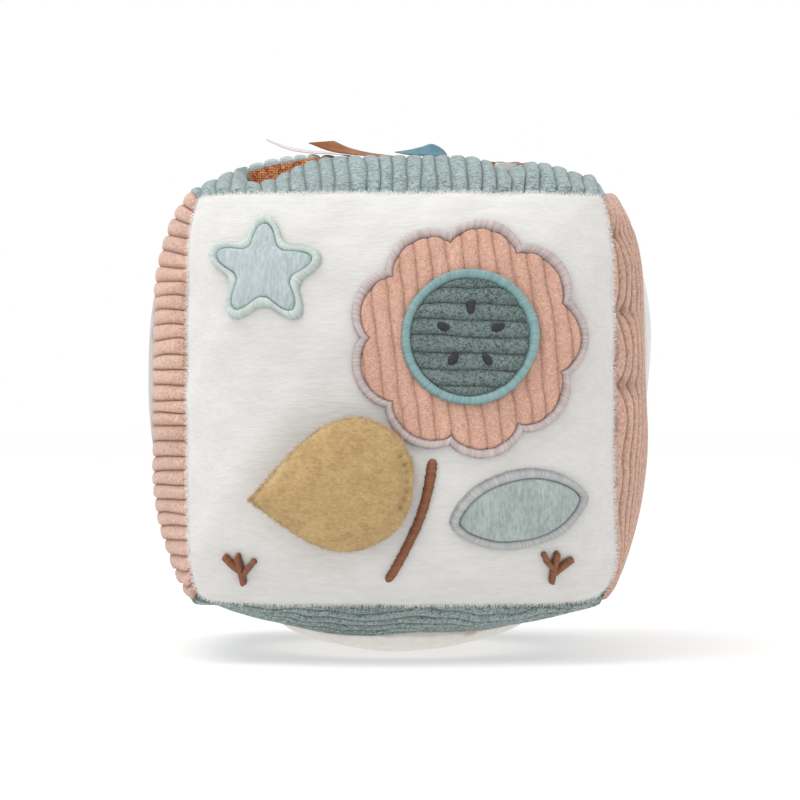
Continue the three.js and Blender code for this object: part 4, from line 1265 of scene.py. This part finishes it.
def ribbon(name, edges):
    """A thin strip between its two long edges, closed round both faces and both ends."""
    near, far = (smooth_line(np.array(edge) * 0.001 + block_middle, ribbon_stations) for edge in edges)
    share = np.linspace(0, 1, ribbon_across)[None, :, None]
    sheet = near[:, None] * (1 - share) + far[:, None] * share
    along = np.gradient(sheet, axis=0)
    across = np.gradient(sheet, axis=1)
    up = np.cross(along, across)
    up *= ribbon_half_thick / np.maximum(np.linalg.norm(up, axis=-1, keepdims=True), 1e-12)
    around = np.concatenate([sheet + up, (sheet - up)[:, ::-1]], axis=1)
    return cloth(name, around, wrap=True, capped=(0, -1))


satins = {
    "white": satin_ribbon_finish("white satin", rgb(206, 200, 202), rgb(192, 184, 187)),
    "rust": satin_ribbon_finish("rust satin", rgb(148, 86, 28), rgb(110, 56, 14)),
    "blue": satin_ribbon_finish("blue satin", rgb(84, 128, 142), rgb(58, 96, 112)),
}
roots = {joint["child"]: joint["pos_m"] for joint in frame["joints"] if joint["name"].endswith("_bend")}
for name, edges in ribbon_edges.items():
    strip = ribbon(f"{name}_ribbon", edges)
    body = f"ribbon_{name}"
    bend_on(strip, body, f"{name}_satin", satins[name], roots[body], *ribbon_bend)
    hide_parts(body)
tucked_edges = (
    ((30, -7.2, 54), (30, -7.2, 72), (32, -7.2, 81), (34.5, -7.8, 84.9)),
    ((37.5, -7.0, 54), (37.5, -7.0, 72), (39.5, -7.0, 81), (42.5, -7.4, 84.4)),
)
# The tucked end is the same white satin coloured much lighter: painted light, as it lies in the shade of the
# slit.
tucked_satin_painted_light = satin_ribbon_finish("tucked white satin", rgb(250, 249, 249), rgb(236, 233, 234))
tucked = ribbon("tucked_ribbon", tucked_edges)
place_on(tucked, "ribbon_tucked", "white_satin", tucked_satin_painted_light, "ribbon_tucked")

# Fibre fill: two wads of loose polyester fibre, one before the pocket and one behind it, that
# press the panels out. They are lumpy, and hollowed where the pocket and the rattle lie.
fill_depth = 0.0034
fill_steps = 44
fill_lump = 0.0006
fill_gap = 0.0004
rattle_height = middle_height - 0.032
rattle_room = 0.0196
pocket_bottom = 0.119


def wad_of_fill(name, side, seed):
    """A closed wad: its outside is the stuffed skin drawn in, its inside faces the slit."""
    turn = np.linspace(-1, 1, fill_steps)
    columns = np.concatenate([turn[:-1], np.ones(fill_steps - 1), -turn[:-1], -np.ones(fill_steps - 1)])
    heights = np.concatenate([-np.ones(fill_steps - 1), turn[:-1], np.ones(fill_steps - 1), -turn[:-1]])
    seam_share = slit_place / half_low[1]
    rings = fill_steps // 2
    share = np.concatenate(
        [np.linspace(0.02, 1, rings)[:-1], np.ones(fill_steps), np.linspace(1, 0.02, rings)[1:]]
    )
    inward = side + (seam_share - side) * np.linspace(0, 1, fill_steps)
    depth = np.concatenate([np.full(rings - 1, side), inward, np.full(rings - 1, seam_share)])[:, None]
    unit = np.stack(np.broadcast_arrays(share[:, None] * columns, depth, share[:, None] * heights), axis=-1)
    lumps = fill_lump * (dents(stuffed_skin(unit, -fill_depth), 0.03, seed) - 1.2)
    places = stuffed_skin(unit, -fill_depth + lumps)
    x, z = places[..., 0], places[..., 2]
    ball = np.sqrt(np.maximum(rattle_room**2 - x**2 - (z - rattle_height) ** 2, 0))
    over_floor = np.clip((z - pocket_bottom + 0.004) / 0.004, 0, 1)
    pocket = (mouth_at(x) + 0.003) * over_floor * (np.abs(x - slit_middle) < lining_half + 0.005)
    recess = fill_gap + np.maximum(ball, pocket)
    inside = (depth == seam_share) | (side * (places[..., 1] - slit_place) < recess)
    places[..., 1] = np.where(inside, slit_place + side * recess, places[..., 1])
    under_lip = np.clip((places[..., 2] - 0.135) / 0.03, 0, 1) * (0.002 + sag_depth * sag_at(x) * (side < 0))
    places[..., 2] -= under_lip * hump(places[..., 1], slit_place, 0.05)
    return cloth(name, places, wrap=True, capped=(0, -1))


for name, side, seed in (("front", -1, 121), ("back", 1, 122)):
    wad = wad_of_fill(f"{name}_wad", side, seed)
    place_on(wad, "block", "fibre_fill", fill_finish, f"{name}_fill")

# Rattle: a capsule of two moulded half shells with three loose beads, deep in the fill.
# It is plain matt plastic with a fine moulded grain; the beads are glossier.
for kind, light, shade, rough in (
    ("shell", rgb(226, 226, 224), rgb(212, 212, 210), 0.5),
    ("bead", rgb(170, 176, 182), rgb(146, 152, 158), 0.25),
):
    finish, shader, place = start_finish(f"{kind} plastic", Specular_IOR_Level=0.5)
    grain = place.noise(0.0006, 3)
    tone = place.noise(0.008).between(0.3, 0.7).mix(shade, light)
    feed(shader, tone, grain * 0.15 + rough, grain, 0.00005)
    for node, thing in frame["nodes"].items():
        if node.startswith("rattle") and kind in node:
            thing.data.materials.clear()
            thing.data.materials.append(finish)

# Floor, light and camera: the block stands on a plain white floor in broad soft light from
# above and before it, and is seen square on to the picture from about a metre.
floor_half = 6.0
floor_ends = (-floor_half, floor_half)
floor = cloth("floor", np.array([[(x, y, 0.0) for x in floor_ends] for y in floor_ends]))
floor_finish, floor_shader, floor_place = start_finish(
    "white floor", Roughness=0.9, Specular_IOR_Level=0.0, Emission_Color=(1, 1, 1, 1), Emission_Strength=0.48
)
feed(floor_shader, floor_place.noise(0.4, 1).between(0, 1).mix(rgb(188, 188, 188), rgb(190, 190, 190)))
floor.data.materials.append(floor_finish)

world = bpy.data.worlds.new("studio")
world.use_nodes = True
world.node_tree.nodes["Background"].inputs["Color"].default_value = (1, 1, 1, 1)
world.node_tree.nodes["Background"].inputs["Strength"].default_value = 1.0
bpy.context.scene.world = world
lamp = bpy.data.lights.new("key", "AREA")
lamp.size = 1.2
lamp.energy = 15.0
light = bpy.data.objects.new("key", lamp)
light.location = (-0.6, -0.4, 1.45)
light.rotation_mode = "QUATERNION"
toward_block = -light.location
toward_block.z += middle_height
light.rotation_quaternion = toward_block.to_track_quat("-Z", "Y")
bpy.context.scene.collection.objects.link(light)

view_distance = 1.0
view_angle = math.radians(15.3)
lens = bpy.data.cameras.new("view")
lens.angle = view_angle
camera = bpy.data.objects.new("view", lens)
camera.location = (0, -half_low[1] - view_distance, middle_height)
camera.rotation_euler = (math.pi / 2, 0, 0)
bpy.context.scene.collection.objects.link(camera)
bpy.context.scene.camera = camera
bpy.context.scene.view_settings.view_transform = "Standard"
